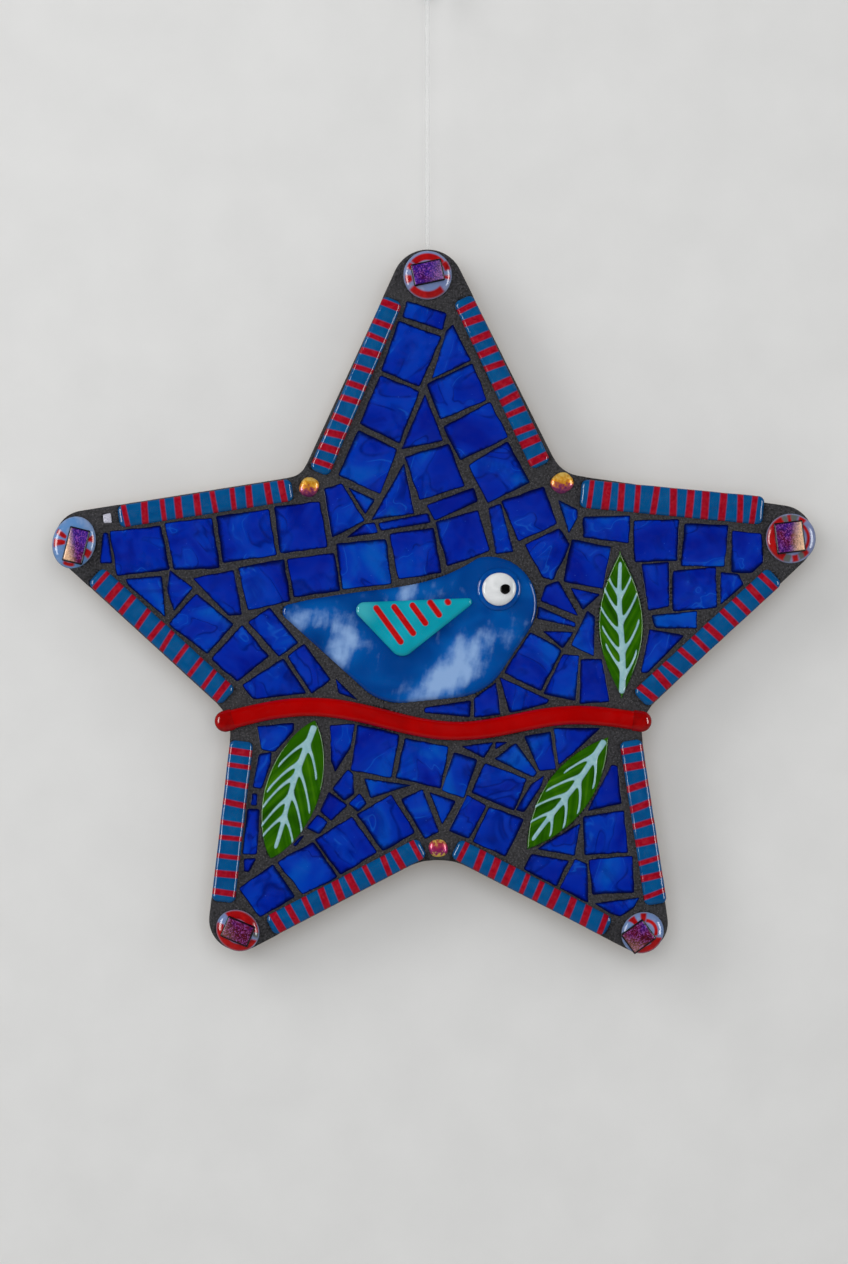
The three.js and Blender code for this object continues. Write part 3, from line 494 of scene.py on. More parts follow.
# aluminium drawn lengthwise
def sleeveMaterial():
    material, tree, shader = newMaterial("crimped_aluminium")
    coords = addNode(tree, "ShaderNodeMapping", {"Vector": objectCoords(tree), "Scale": (900, 900, 90)})
    drawn = noise(tree, coords.outputs[0], 4.0, 4.0)
    tint = colourRamp(tree, drawn, [(0.3, tone(150, 152, 154)), (0.7, tone(196, 198, 200))])
    rough = stepValue(tree, drawn, 0.3, 0.7, 0.26, 0.42)
    linkFinish(tree, shader, tint, rough, bumpFrom(tree, drawn, 0.2, 0.0001))
    setFinish(shader, {"Metallic": 1.0})
    return material


# the sleeve: an oval carried along the cord, pinched where the pliers closed it and rounded at its ends
def sleeveSkin(s):
    along = np.linspace(-0.5, 0.5, s["rows"]) * s["length"]
    turn = fullTurn(s["around"])
    squared = lambda c: np.sign(c) * np.abs(c) ** s["squareness"]
    pinch = sum(np.exp(-((along - at) / s["crimpReach"]) ** 2) for at in s["crimps"]) * s["crimpDepth"]
    lip = s["lip"] * easeBetween(0.42, 0.5, np.abs(along) / s["length"])
    x = s["middle"][0] + squared(np.cos(turn)) * (s["width"] / 2 - lip + 0.4 * pinch)[:, None]
    height = hangingCord["height"] - squared(np.sin(turn)) * (s["depth"] / 2 - lip - pinch)[:, None]
    y = np.broadcast_to(s["middle"][1] + along[:, None], x.shape)
    return ringSkin(np.stack([x, y, height], axis=-1))


# the cord as a round curve along its route, with the sleeve on it
def hangCord(c):
    flat = smoothLine(c["route"], c["step"])
    line = toWorld(atHeight(flat, np.full(len(flat), c["height"])))
    curve = bpy.data.curves.new("hanging_line", "CURVE")
    curve.dimensions = "3D"
    curve.bevel_depth = c["diameter"] / 2000
    curve.bevel_resolution = 4
    curve.use_fill_caps = True
    spline = curve.splines.new("POLY")
    spline.points.add(len(line) - 1)
    spline.points.foreach_set("co", np.column_stack([line, np.ones(len(line))]).ravel())
    spline.use_smooth = True
    curve.materials.append(clearLineMaterial())
    cord = bpy.data.objects.new("hanging_line", curve)
    scene.collection.objects.link(cord)
    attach(cord, "root")
    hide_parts("hanging_cord")
    skin = sleeveSkin(cordSleeve)
    sleeve = addPiece("crimp_sleeve", skin, sleeveMaterial(), ["cord_sleeve"])


hangCord(hangingCord)
print("cord hung")


# the star: round caps (reach, angle, radius) at its points and fillets at its notches, in turn
star = {
    "caps": [(140.1, 90.7, 14.2), (142.5, 164.1, 12.2), (134.0, 235.5, 12.2), (138.4, 306.2, 11.4),
             (143.5, 16.3, 13.0)],
    "notches": [(83.1, 128.5, 8.0), (84.7, 201.3, 16.0), (83.7, 271.5, 26.0), (87.4, 339.6, 16.0),
                (83.4, 52.2, 13.0)],
    "spacing": 1.1,
}
grout = {
    "top": 15.45, "bed": 12.2, "back": 0.3, "boardEdge": 1.2, "boardTop": 11.3, "edgeRound": 1.3,
    "rings": 66, "unevenness": 0.13, "waveLength": 9.0, "sink": (0.5, 1.7), "stripOverhang": 12.0,
    "wallUnevenness": 0.22, "wallWaveLength": 11.0, "wallReach": 140.0,
    # heights of the rows down the side, closer together at the cord's hole
    "sideRows": np.array([9.6, 8.4, 7.4, 6.9, 6.6, 6.3, 6.0, 5.5, 5.0, 4.7, 4.4, 4.1, 3.6, 2.6, 1.6, 0.7]),
    "hole": {"x": -1.9, "height": 5.5, "radius": 1.15, "depth": 4.0, "above": 100.0, "fineReach": 4.0},
}
tiles = {
    "top": 15.9, "foot": 12.1, "grow": 0.45, "cornerCut": 1.0, "tilt": 0.006, "seed": 11,
    "form": {"wall": 3.45, "rim": (0.8, 0.12), "crown": 0.2}, "unevenness": 0.05, "waveLength": 14.0,
    "cutWander": 0.035, "cutWaveLength": 7.0,
    "shares": np.array([1, 0.985, 0.96, 0.925, 0.88, 0.8, 0.66, 0.45, 0.2]),
}


# an arc about a middle from one angle to another: anticlockwise where turn is 1, clockwise where it is -1
def arcBetween(middle, radius, start, end, turn):
    sweep = (turn * (end - start)) % (2 * np.pi)
    angle = start + turn * np.linspace(0, sweep, max(2, int(sweep * radius / 0.5)))
    return middle + radius * directions(angle)


# where the line from a notch touches a cap: the cap's angle that is square to that line
def touchAngle(cap, notch, side):
    run = polar(*notch[:2]) - polar(*cap[:2])
    half = np.arccos(cap[2] / np.linalg.norm(run))
    return np.arctan2(run[1], run[0]) + side * half


# the outline of the star: each cap's arc between its two touching lines, then the notch's fillet,
# an arc that touches both lines from outside
def starOutline():
    parts = []
    for i, cap in enumerate(star["caps"]):
        before, notch = star["notches"][i - 1], star["notches"][i]
        following = star["caps"][(i + 1) % 5]
        start, end = touchAngle(cap, before, 1), touchAngle(cap, notch, -1)
        parts.append(arcBetween(polar(*cap[:2]), cap[2], start, end, 1))
        corner = polar(*notch[:2])
        ends = [
            polar(*c[:2]) + polar(c[2], np.degrees(touchAngle(c, notch, side)))
            for c, side in ((cap, -1), (following, 1))
        ]
        ways = [(p - corner) / np.linalg.norm(p - corner) for p in ends]
        outward = sum(ways) / np.linalg.norm(sum(ways))
        half = np.arccos(outward @ ways[0])
        middle = corner + outward * notch[2] / np.sin(half)
        feet = [corner + way * notch[2] / np.tan(half) - middle for way in ways]
        angles = [np.arctan2(foot[1], foot[0]) for foot in feet]
        parts.append(arcBetween(middle, notch[2], angles[0], angles[1], -1))
    return np.concatenate(parts)


# corners of the field tiles, read from the flat tops of the fused solid: triangles that share a corner
# get the same label, and the corners of one label are put in turn round their middle
def tilePlans():
    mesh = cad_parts["mosaic_field"].data
    mesh.calc_loop_triangles()
    index = np.empty(len(mesh.loop_triangles) * 3, np.int32)
    mesh.loop_triangles.foreach_get("vertices", index)
    corners = meshCorners(mesh)[index.reshape(-1, 3)]
    onTop = (np.abs(corners[..., 2] - tiles["top"]) < 0.01).all(1)
    flat, index = np.unique(corners[onTop][..., :2].reshape(-1, 2).round(3), axis=0, return_inverse=True)
    index = index.reshape(-1, 3)
    label, before = np.arange(len(flat)), None
    while before is None or (label != before).any():
        before = label.copy()
        np.minimum.at(label, index.ravel(), np.repeat(before[index].min(1), 3))
    return [inTurn(flat[label == one]) for one in np.unique(label)]


# points put in turn round their middle, by their angle from it
def inTurn(points):
    away = points - points.mean(0)
    return points[np.argsort(np.arctan2(away[:, 1], away[:, 0]))]


# a bar's middle, its direction, and its length and width along and across it
def barPlan(nodeName):
    points = cadPoints(nodeName)
    flat = points[:, :2]
    along = np.linalg.svd(flat - flat.mean(0), full_matrices=False)[2][0]
    across = leftOf(along)
    run, side = flat @ along, flat @ across
    middle = along * (run.max() + run.min()) / 2 + across * (side.max() + side.min()) / 2
    return {
        "middle": middle, "along": along, "across": across, "length": np.ptp(run), "width": np.ptp(side),
        "base": points[:, 2].min(),
    }


# an oval's middle, the directions of its axes and its two radii, from the corners of its foot: points
# spread evenly round an ellipse have half the square of each radius as their variance
def ovalPlan(nodeName):
    points = cadPoints(nodeName)
    foot = points[points[:, 2] < points[:, 2].min() + 0.01][:, :2]
    middle = foot.mean(0)
    foot = foot[np.linalg.norm(foot - middle, axis=1) > 0.5]
    spread, ways = np.linalg.eigh((foot - middle).T @ (foot - middle) / len(foot))
    return {
        "middle": middle, "ways": ways, "radii": np.sqrt(2 * spread), "base": points[:, 2].min(),
        "top": points[:, 2].max(),
    }


# the four corners of a plate, which are the furthest from its middle, and the height of its foot
def platePlan(nodeName):
    points = cadPoints(nodeName)
    away = np.linalg.norm(points[:, :2] - points[:, :2].mean(0), axis=1)
    corners = np.unique(points[away > 0.995 * away.max()][:, :2].round(2), axis=0)
    return inTurn(corners), points[:, 2].min()


stripNames = [f"strip_{s}" for s in (
    "top_left", "top_right", "left_upper", "left_lower", "right_upper", "right_lower",
    "low_left_outer", "low_left_inner", "low_right_outer", "low_right_inner",
)]
pointNames = ["top", "left", "low_left", "low_right", "right"]
nuggetNames = ["upper_left", "upper_right", "bottom"]
stripPlans = {name: barPlan(name) for name in stripNames}
cabochonPlans = {name: ovalPlan(f"cabochon_{name}") for name in pointNames}
nuggetPlans = {name: ovalPlan(f"nugget_{name}") for name in nuggetNames}
tileOutlines = tilePlans()


# an oval: cosine and sine times its two radii, turned onto its axes
def ovalOutline(plan, count):
    ring = directions(fullTurn(count)) * plan["radii"]
    return inTurn(plan["middle"] + ring @ plan["ways"].T)


# an uneven circle: its mean radius grows and shrinks with sines, each (times round, share, phase)
def unevenCircle(plan, count, uneven, sines):
    turn = fullTurn(count)
    bumpy = sum(share * np.sin(times * turn + phase) for times, share, phase in sines)
    return plan["middle"] + directions(turn) * (plan["radii"].mean() * (1 + uneven * bumpy))[:, None]


# a strip's corners, carried past the edge of the star on its outer side
def openStripOutline(plan):
    outer = plan["across"] * np.sign(plan["across"] @ plan["middle"])
    run = plan["along"] * plan["length"] / 2
    near, far = -outer * plan["width"] / 2, outer * (plan["width"] / 2 + grout["stripOverhang"])
    return inTurn(plan["middle"] + np.array([-run + near, run + near, run + far, -run + far]))


# the bird: circles of its tail, belly, breast and head, and how far its back dips below their band
bird = {
    "circles": np.array([(-56.0, 11.1, 3.2), (-12.6, -3.2, 21.7), (7.9, 0.8, 23.7), (22.5, 14.2, 18.9)]),
    "backDip": 4.1, "neckPower": 1.1, "tailPower": 2.5, "middle": (-4.0, 0.0), "base": 12.6,
    "form": {"wall": 2.1, "rim": (1.8, 1.7), "crown": 0.4}, "around": 520, "rings": 40,
    "uneven": 0.12, "waveLength": 22.0,
    # soft clouds in the glass: x, y, how far each reaches along and across, its turn and its strength
    "clouds": [(-49, 9, 15, 6, 20, 0.75), (-34, -2, 12, 9, 60, 0.95), (-6, 19, 15, 6, 8, 0.75),
               (12, -7, 15, 9, 50, 1.0), (-1, -20, 14, 6, 22, 1.0), (33, 4, 10, 6, 80, 0.55)],
}
wing = {
    "circles": np.array([(-26.8, 11.8, 3.2), (-11.8, -1.2, 5.1), (14.2, 15.0, 1.6)]),
    "base": 16.7, "form": {"wall": 1.2, "rim": (1.8, 1.6), "crown": 0.6}, "around": 420, "rings": 66,
    "middle": (-8.0, 8.6), "paintedHighlightFrom": (-28.0, 12.0), "paintedHighlightReach": 9.0,
    # red bars: the middle and half the length of each, all with the same slant
    "bars": [(-17.2, 6.0, 8.2), (-11.2, 7.9, 6.4), (-5.2, 10.2, 4.3), (1.0, 12.4, 3.0), (6.2, 15.0, 0.2)],
    "slant": -54.0, "barHalfWidth": 1.2, "barRise": 0.22,
}


# The band round the circles, its longest side, the back, drawn in by a lopsided dip: a power of the way
# from the head times a power of the way to the tail.
def birdOutline():
    band = bandOfCircles(bird["circles"])
    gap = np.linalg.norm(np.roll(band, -1, axis=0) - band, axis=1)
    band = np.roll(band, -1 - gap.argmax(), axis=0)
    start, end = band[-1], band[0]
    share = np.linspace(0, 1, 90)[1:-1, None]
    run = (end - start) / np.linalg.norm(end - start)
    neck, tail = bird["neckPower"], bird["tailPower"]
    deepest = neck / (neck + tail)
    dip = bird["backDip"] * (share / deepest) ** neck * ((1 - share) / (1 - deepest)) ** tail
    back = start + share * (end - start) + dip * leftOf(run)
    return evenOutline(np.concatenate([band, back]), bird["around"])


# Leaves from stem to tip. Half the width is the bulge times a power of 4 s (1 - s), where s is the share
# of the way along; sides counts the veins on either side.
leaves = {
    "right": {
        "stem": (74.9, -23.1), "tip": (74.2, 35.2), "bulge": 8.8, "power": 1.15,
        "sides": (4, 5), "seed": 3,
    },
    "low_left": {
        "stem": (-46.3, -31.7), "tip": (-63.7, -86.2), "bulge": 10.9, "power": 0.8,
        "sides": (5, 4), "seed": 8,
    },
    "low_right": {
        "stem": (69.6, -38.3), "tip": (37.5, -82.6), "bulge": 9.0, "power": 0.95,
        "sides": (4, 4), "seed": 5,
    },
}
leafForm = {
    "base": 12.6, "wall": 2.4, "rim": (0.9, 0.8), "crown": 0.3, "blunt": 0.35, "rows": 260, "columns": 84,
    "ribWidth": (1.5, 0.75), "veinWidth": (0.84, 0.54), "veinAngle": 38.0, "veinRise": 0.25,
    "veinStarts": (0.16, 0.68), "veinReach": 0.84,
}


# half the width of a leaf at a share of its length
def leafHalfWidth(leaf, share):
    return leaf["bulge"] * np.maximum(4 * share * (1 - share), 0) ** leaf["power"]


# a leaf's stem, the directions along and across it, and its length
def leafFrame(leaf):
    stem, tip = np.array(leaf["stem"]), np.array(leaf["tip"])
    length = np.linalg.norm(tip - stem)
    along = (tip - stem) / length
    return stem, along, leftOf(along), length


# both sides of a leaf: the line from stem to tip, plus and minus half the width
def leafOutline(leaf, count=60):
    stem, along, across, length = leafFrame(leaf)
    share = np.linspace(0, 1, count)[:, None]
    half = leafHalfWidth(leaf, share)
    upper = stem + along * length * share + across * half
    lower = stem + along * length * share - across * half
    return np.concatenate([lower, upper[-2:0:-1]])


# the twig: a rod on a wave whose swing fades from left to right while the wave tightens, with rounded
# ends of darker glass
twig = {
    "left": -78.6, "right": 79.3, "level": -32.0, "width": 7.5, "waveLength": 131.0, "crest": -46.0,
    "swing": (6.6, 1.8), "tightening": 0.0022, "base": 12.6, "wall": 3.0, "rim": (1.7, 2.0), "crown": 0.4,
    "rows": 460, "columns": 25, "uneven": 0.035, "unevenLength": 24.0,
    "endLength": 7.4, "endWidth": 8.4, "endForm": {"wall": 2.2, "rim": (3.2, 2.9), "crown": 0.2},
    "endRings": 30, "endOverlap": 6.0,
}


# the twig's middle line at x, and its slope: a cosine whose phase gains on x past the crest
def twigLine(x):
    share = (x - twig["left"]) / (twig["right"] - twig["left"])
    swing = twig["swing"][0] + share * (twig["swing"][1] - twig["swing"][0])
    rate, past = 2 * np.pi / twig["waveLength"], x - twig["crest"]
    phase = rate * past * (1 + twig["tightening"] * past)
    slope = -swing * rate * (1 + 2 * twig["tightening"] * past) * np.sin(phase)
    return twig["level"] + swing * np.cos(phase), slope


# points of the twig at x, a share of half the width to either side
def twigPoints(x, share):
    y, slope = twigLine(x)
    length = np.hypot(1, slope)
    half = share * twig["width"] / 2
    return np.stack([x - half * slope / length, y + half / length], axis=-1)


# a twig end: square where it meets the rod, half a circle at its outer end; start is how far along it
# the square side lies
def twigEndOutline(sign, count=150, start=0.05):
    x = twig["left"] if sign < 0 else twig["right"]
    y, slope = twigLine(x)
    along = sign * np.array([1, slope]) / np.hypot(1, slope)
    across = leftOf(along)
    half = twig["endWidth"] / 2
    turn = np.linspace(-np.pi / 2, np.pi / 2, 60)[:, None]
    tip = np.array([x, y]) + along * (twig["endLength"] - half)
    cap = tip + half * (np.cos(turn) * along + np.sin(turn) * across)
    inner = np.array([x, y]) + along * start
    corners = np.concatenate([(inner - across * half)[None], cap, (inner + across * half)[None]])
    return evenOutline(corners, count)


pieceOutlines = [
    *[openStripOutline(plan) for plan in stripPlans.values()],
    *[ovalOutline(plan, 40) for plan in cabochonPlans.values()],
    *[ovalOutline(plan, 24) for plan in nuggetPlans.values()],
    platePlan("pale_chip")[0],
    birdOutline()[::6],
    *[leafOutline(leaf) for leaf in leaves.values()],
    np.concatenate([
        twigPoints(np.linspace(twig["left"], twig["right"], 50), -1),
        twigPoints(np.linspace(twig["right"], twig["left"], 50), 1),
    ]),
    twigEndOutline(-1, 40),
    twigEndOutline(1, 40),
]


# The grout's front: level and a little uneven, and sunk to the bed under everything set in it. A piece
# hides the slope, which lies inside its outline.
def groutHeight(points):
    uneven = waver(points[..., 0], points[..., 1], grout["waveLength"], 21)
    height = grout["top"] + grout["unevenness"] * uneven
    low, high = grout["sink"]
    for outline in pieceOutlines + tileOutlines:
        near = ((points > outline.min(0)) & (points < outline.max(0))).all(-1)
        depth = depthInside(points[near], outline)
        sunk = height[near] + (grout["bed"] - height[near]) * easeBetween(low, high, depth)
        height[near] = np.minimum(height[near], sunk)
    return height


# points along the star's outline, evenly spaced, and five times closer beside the cord's hole
def groutRim():
    rough, hole = starOutline(), grout["hole"]
    length = np.linalg.norm(np.diff(np.vstack([rough, rough[:1]]), axis=0), axis=1).sum()
    even = evenOutline(rough, int(length / star["spacing"]))
    nearHole = (np.abs(even[:, 0] - hole["x"]) < hole["fineReach"]) & (even[:, 1] > hole["above"])
    parts = np.where(nearHole, 5, 1)
    start = np.repeat(np.arange(len(even)), parts)
    share = (np.arange(len(start)) - (np.cumsum(parts) - parts)[start]) / parts[start]
    return even[start] + share[:, None] * (np.roll(even, -1, axis=0) - even)[start]


# the grout as one closed skin: from the middle of its front out to the edge, round the edge, down the
# side of the board, in under its rim, up inside and back to the middle; the cord's hole is pushed in
def groutSkin():
    fine, hole = groutRim(), grout["hole"]
    tangent = np.roll(fine, -1, axis=0) - np.roll(fine, 1, axis=0)
    outward = np.stack([tangent[:, 1], -tangent[:, 0]], axis=-1)
    outward /= np.linalg.norm(outward, axis=1)[:, None]
    edge = groutHeight(fine - 0.05 * outward)
    bend, around = grout["edgeRound"], len(fine)

    shares = np.linspace(0.01, 1, grout["rings"])
    inner = fine - bend * outward
    front = inner * shares[:, None, None]
    frontHeight = groutHeight(front)
    frontHeight[-1] = edge

    angle = np.linspace(0, np.pi / 2, 6)[1:]
    turned = fine - outward * (bend * (1 - np.sin(angle)))[:, None, None]
    turnedHeight = edge - (bend * (1 - np.cos(angle)))[:, None]

    wallHeight = np.broadcast_to(grout["sideRows"][:, None], (len(grout["sideRows"]), around))
    way = np.arctan2(fine[:, 1], fine[:, 0]) * grout["wallReach"] + 0 * wallHeight
    bulge = grout["wallUnevenness"] * waver(way, wallHeight, grout["wallWaveLength"], 5)
    reach = np.hypot(fine[:, 0] - hole["x"], wallHeight - hole["height"]) / hole["radius"]
    pushed = hole["depth"] * (1 - easeBetween(0.8, 1.15, reach)) * (fine[:, 1] > hole["above"])
    fade = np.minimum(easeBetween(0, 3, wallHeight), easeBetween(11, 9, wallHeight))
    wall = fine + outward * (bulge * fade - pushed)[..., None]

    board = fine - grout["boardEdge"] * outward
    under = [(fine - 0.3 * outward, grout["back"]), (board, grout["back"]), (board, grout["boardTop"])]
    back = [(board * share, grout["boardTop"]) for share in (0.7, 0.35, 0.02)]
    flat = np.concatenate([front, turned, wall, np.stack([p for p, _ in under + back])])
    low = np.stack([np.full(around, height) for _, height in under + back])
    height = np.concatenate([frontHeight, turnedHeight, wallHeight, low])
    return ringSkin(atHeight(flat, height)[::-1])


# charcoal cement with its sand showing, and dusty clouds
def groutMaterial():
    material, tree, shader = newMaterial("charcoal_grout")
    coords = objectCoords(tree)
    sand = addNode(tree, "ShaderNodeGroup", {"Vector": coords, "Scale": 1100.0}, node_tree=sandGrain).outputs
    cloudy = noise(tree, coords, 70.0, 3.0)
    base = colourRamp(tree, sand["Speckle"], [(0.36, tone(20, 20, 22)), (0.64, tone(58, 57, 61))])
    dusty = blendColour(tree, stepValue(tree, cloudy, 0.45, 0.75, 0.0, 0.3), base, tone(62, 61, 64))
    grains = blendColour(tree, calc(tree, "MULTIPLY", sand["Grain"], 0.4), dusty, tone(112, 110, 113))
    rough = stepValue(tree, sand["Speckle"], 0.3, 0.7, 0.82, 0.97)
    linkFinish(tree, shader, grains, rough, bumpFrom(tree, sand["Height"], 0.55, 0.0004))
    return material


addPiece("grout", groutSkin(), groutMaterial(), ["mosaic_field"])
print("grout laid,", len(tileOutlines), "field tiles found")


# a convex outline with every side moved out: a corner moves along the sum of its two sides' directions
# outwards, over one plus their product
def growOutline(corners, reach):
    run = np.roll(corners, -1, axis=0) - corners
    after = np.stack([run[:, 1], -run[:, 0]], axis=-1) / np.linalg.norm(run, axis=1)[:, None]
    before = np.roll(after, 1, axis=0)
    shared = 1 + (before * after).sum(1)
    return corners + reach * (before + after) / np.maximum(shared, 0.5)[:, None]


# Each tile is a thin cushion with soft corners, tilted a little by hand. The attributes give the depth
# inside its border, how far a point lies towards the side where shade is painted, and its own place on the
# glass sheet.
def fieldTiles():
    rng = np.random.default_rng(tiles["seed"])
    points, faces, values = [], [], {"edge": [], "shade": [], "sheet": []}
    count = 0
    for number, corners in enumerate(tileOutlines):
        outline = softCorners(growOutline(corners, tiles["grow"]), tiles["cornerCut"])
        wander = tiles["cutWander"] * waver(*outline.T, tiles["cutWaveLength"], number)
        outline = outline + (outline - outline.mean(0)) * wander[:, None]
        rings, depth = cushion(outline, tiles["foot"], tiles["form"], tiles["shares"])
        away = rings[..., :2] - outline.mean(0)
        tilt, (turn, sideTurn) = rng.normal(0, tiles["tilt"], 2), rng.uniform(0, 2 * np.pi, 2)
        uneven = waver(rings[..., 0], rings[..., 1], tiles["waveLength"], number)
        rings[1:, :, 2] += (away @ tilt + tiles["unevenness"] * uneven)[1:]
        skin, skinFaces = ringSkin(rings)
        points.append(skin)
        faces += [part + count for part in skinFaces]
        count += len(skin)
        # painted shade: a random side of each tile, at a random strength, gets a wider dark border
        side = rng.uniform(0.1, 1.0) * (away @ directions(sideTurn)) / np.abs(away).max()
        spin = np.array([[np.cos(turn), -np.sin(turn)], [np.sin(turn), np.cos(turn)]])
        place = np.full(away.shape[:2], 0.05 * number)
        local = atHeight(away @ spin / 1000, place)
        values["edge"].append(ringValues(depth))
        values["shade"].append(ringValues(side))
        values["sheet"].append(np.stack([ringValues(local[..., k]) for k in range(3)], axis=-1))
    skin = (np.concatenate(points), faces)
    return skin, {key: np.concatenate(value) for key, value in values.items()}


# cobalt sheet glass: deep blue with broad lighter patches, a few faint dark trails, lighter lines and
# seeds, and a dark uneven border where the cut edge turns down into the grout, widened by painted shade
# on one side of each tile
def cobaltPaint(tree, flow, coords):
    body = colourRamp(tree, flow["Swirl"], [
        (0.3, tone(0, 24, 144)), (0.46, tone(0, 38, 164)), (0.6, tone(0, 55, 176)), (0.74, tone(0, 80, 184)),
    ])
    mottle = blendColour(tree, stepValue(tree, flow["Streak"], 0.52, 0.3, 0.0, 0.45), body, tone(0, 17, 118))
    off = calc(tree, "ABSOLUTE", calc(tree, "SUBTRACT", flow["Swirl"], 0.5))
    trailPlaces = stepValue(tree, flow["Ripple"], 0.4, 0.6, 0.1, 0.6)
    trail = calc(tree, "MULTIPLY", stepValue(tree, off, 0.028, 0.0), trailPlaces)
    lines = blendColour(tree, trail, mottle, tone(0, 14, 96))
    beside = calc(tree, "ABSOLUTE", calc(tree, "SUBTRACT", flow["Swirl"], 0.55))
    gleamPlaces = stepValue(tree, flow["Ripple"], 0.55, 0.4, 0.0, 0.5)
    gleam = calc(tree, "MULTIPLY", stepValue(tree, beside, 0.013, 0.0), gleamPlaces)
    streaked = blendColour(tree, gleam, lines, tone(16, 92, 196))
    cells = cellField(tree, coords, 330.0)["Distance"]
    seeded = blendColour(tree, stepValue(tree, cells, 0.07, 0.04, 0.0, 0.35), streaked, tone(70, 120, 215))
    width = stepValue(tree, flow["Smudge"], 0.35, 0.7, 0.8, 1.8)
    # painted shade: the dark border grows wider towards that side of each tile
    uneven = calc(tree, "ADD", width, calc(tree, "MULTIPLY", attribute(tree, "shade"), 1.9))
    border = stepValue(tree, attribute(tree, "edge"), calc(tree, "MAXIMUM", uneven, 0.6), 0.15, 0.0, 0.95)
    return blendColour(tree, border, seeded, tone(0, 3, 46))


cobalt = glassMaterial("cobalt_tile_glass", cobaltPaint, 0.1, 0.18, 75.0, 1.4, "sheet", 0.25)
tileSkin, tileValues = fieldTiles()
addPiece("field_tiles", tileSkin, cobalt, ["mosaic_field"], tileValues)
print("tiles set")


# striped strips: softly rounded bars of glass; red threads cross them at uneven steps and slants
stripGlass = {
    "cornerRound": 2.4, "wall": 2.7, "rim": (1.5, 1.6), "crown": 0.5, "unevenness": 0.1,
    "faceWave": 17.0, "sideWave": 13.0, "rows": 340, "columns": 25, "endCrowding": 0.9,
    "pitch": 6.9, "pitchJitter": 0.85, "threadHalfWidth": 1.18, "slant": 0.1, "lean": (0.04, 0.06),
}


# depth inside a rectangle with round corners: the corner radius less the distance past its core
def depthInRoundBar(x, y, halfLength, halfWidth, radius):
    pastX, pastY = np.abs(x) - (halfLength - radius), np.abs(y) - (halfWidth - radius)
    outside = np.hypot(np.maximum(pastX, 0), np.maximum(pastY, 0))
    return radius - outside - np.minimum(np.maximum(pastX, pastY), 0)


# a strip as a sheet over its length and width; the rows crowd and draw in at both ends, round the corners
def stripPiece(name, number, material):
    plan, form = stripPlans[name], stripGlass
    halfLength, halfWidth, radius = plan["length"] / 2, plan["width"] / 2, form["cornerRound"]
    quarter = form["endCrowding"] * np.pi / 2
    run = halfLength * np.sin(np.linspace(-quarter, quarter, form["rows"]))[:, None] / np.sin(quarter)
    past = np.maximum(np.abs(run) - (halfLength - radius), 0)
    half = halfWidth - radius + np.sqrt(np.maximum(radius**2 - past**2, 0))
    side = half * np.sin(np.linspace(-np.pi / 2, np.pi / 2, form["columns"]))
    run = np.broadcast_to(run, side.shape)
    depth = np.maximum(depthInRoundBar(run, side, halfLength, halfWidth, radius), 0)
    crown = form["crown"] * (1 - (side / halfWidth) ** 2) * easeBetween(0, 3, depth)
    height = plan["base"] + form["wall"] + rimHeight(depth, *form["rim"]) + crown
    faceWaver = form["unevenness"] * waver(run, side, form["faceWave"], 40 + number)
    sideWaver = form["unevenness"] * waver(run, 0 * run, form["sideWave"], 60 + number)
    height = height + faceWaver * easeBetween(0, 2, depth)
    wavy = side + sideWaver * np.sign(side)
    flat = plan["middle"] + run[..., None] * plan["along"] + wavy[..., None] * plan["across"]
    sheet = atHeight(flat, height)

    rng = np.random.default_rng(100 + number)
    count = int(round(plan["length"] / form["pitch"]))
    places = (np.arange(count) + 0.5) / count * plan["length"] - halfLength
    places = places + rng.uniform(-1, 1, count) * form["pitchJitter"]
    lean = rng.normal(form["lean"][0], form["slant"] / 2, count) + rng.choice([-1, 1]) * form["lean"][1]
    width = form["threadHalfWidth"] * rng.uniform(0.75, 1.3, count)
    away = np.abs(run[..., None] + side[..., None] * lean - places) - width
    thread = 1 - easeBetween(-0.2, 0.25, away).min(-1)
    addSheet(name, sheet, plan["base"], material, {"thread": thread})


# blue glass with the red threads
def stripPaint(tree, flow, coords):
    body = colourRamp(tree, flow["Streak"], [(0.3, tone(0, 74, 131)), (0.7, tone(3, 87, 145))])
    red = colourRamp(tree, flow["Smudge"], [(0.3, tone(142, 6, 28)), (0.7, tone(172, 12, 38))])
    return blendColour(tree, attribute(tree, "thread"), body, red)


stripFinish = glassMaterial("striped_strip_glass", stripPaint, 0.11, 0.12, 150.0)
for number, name in enumerate(stripNames):
    stripPiece(name, number, stripFinish)
print("strips set")


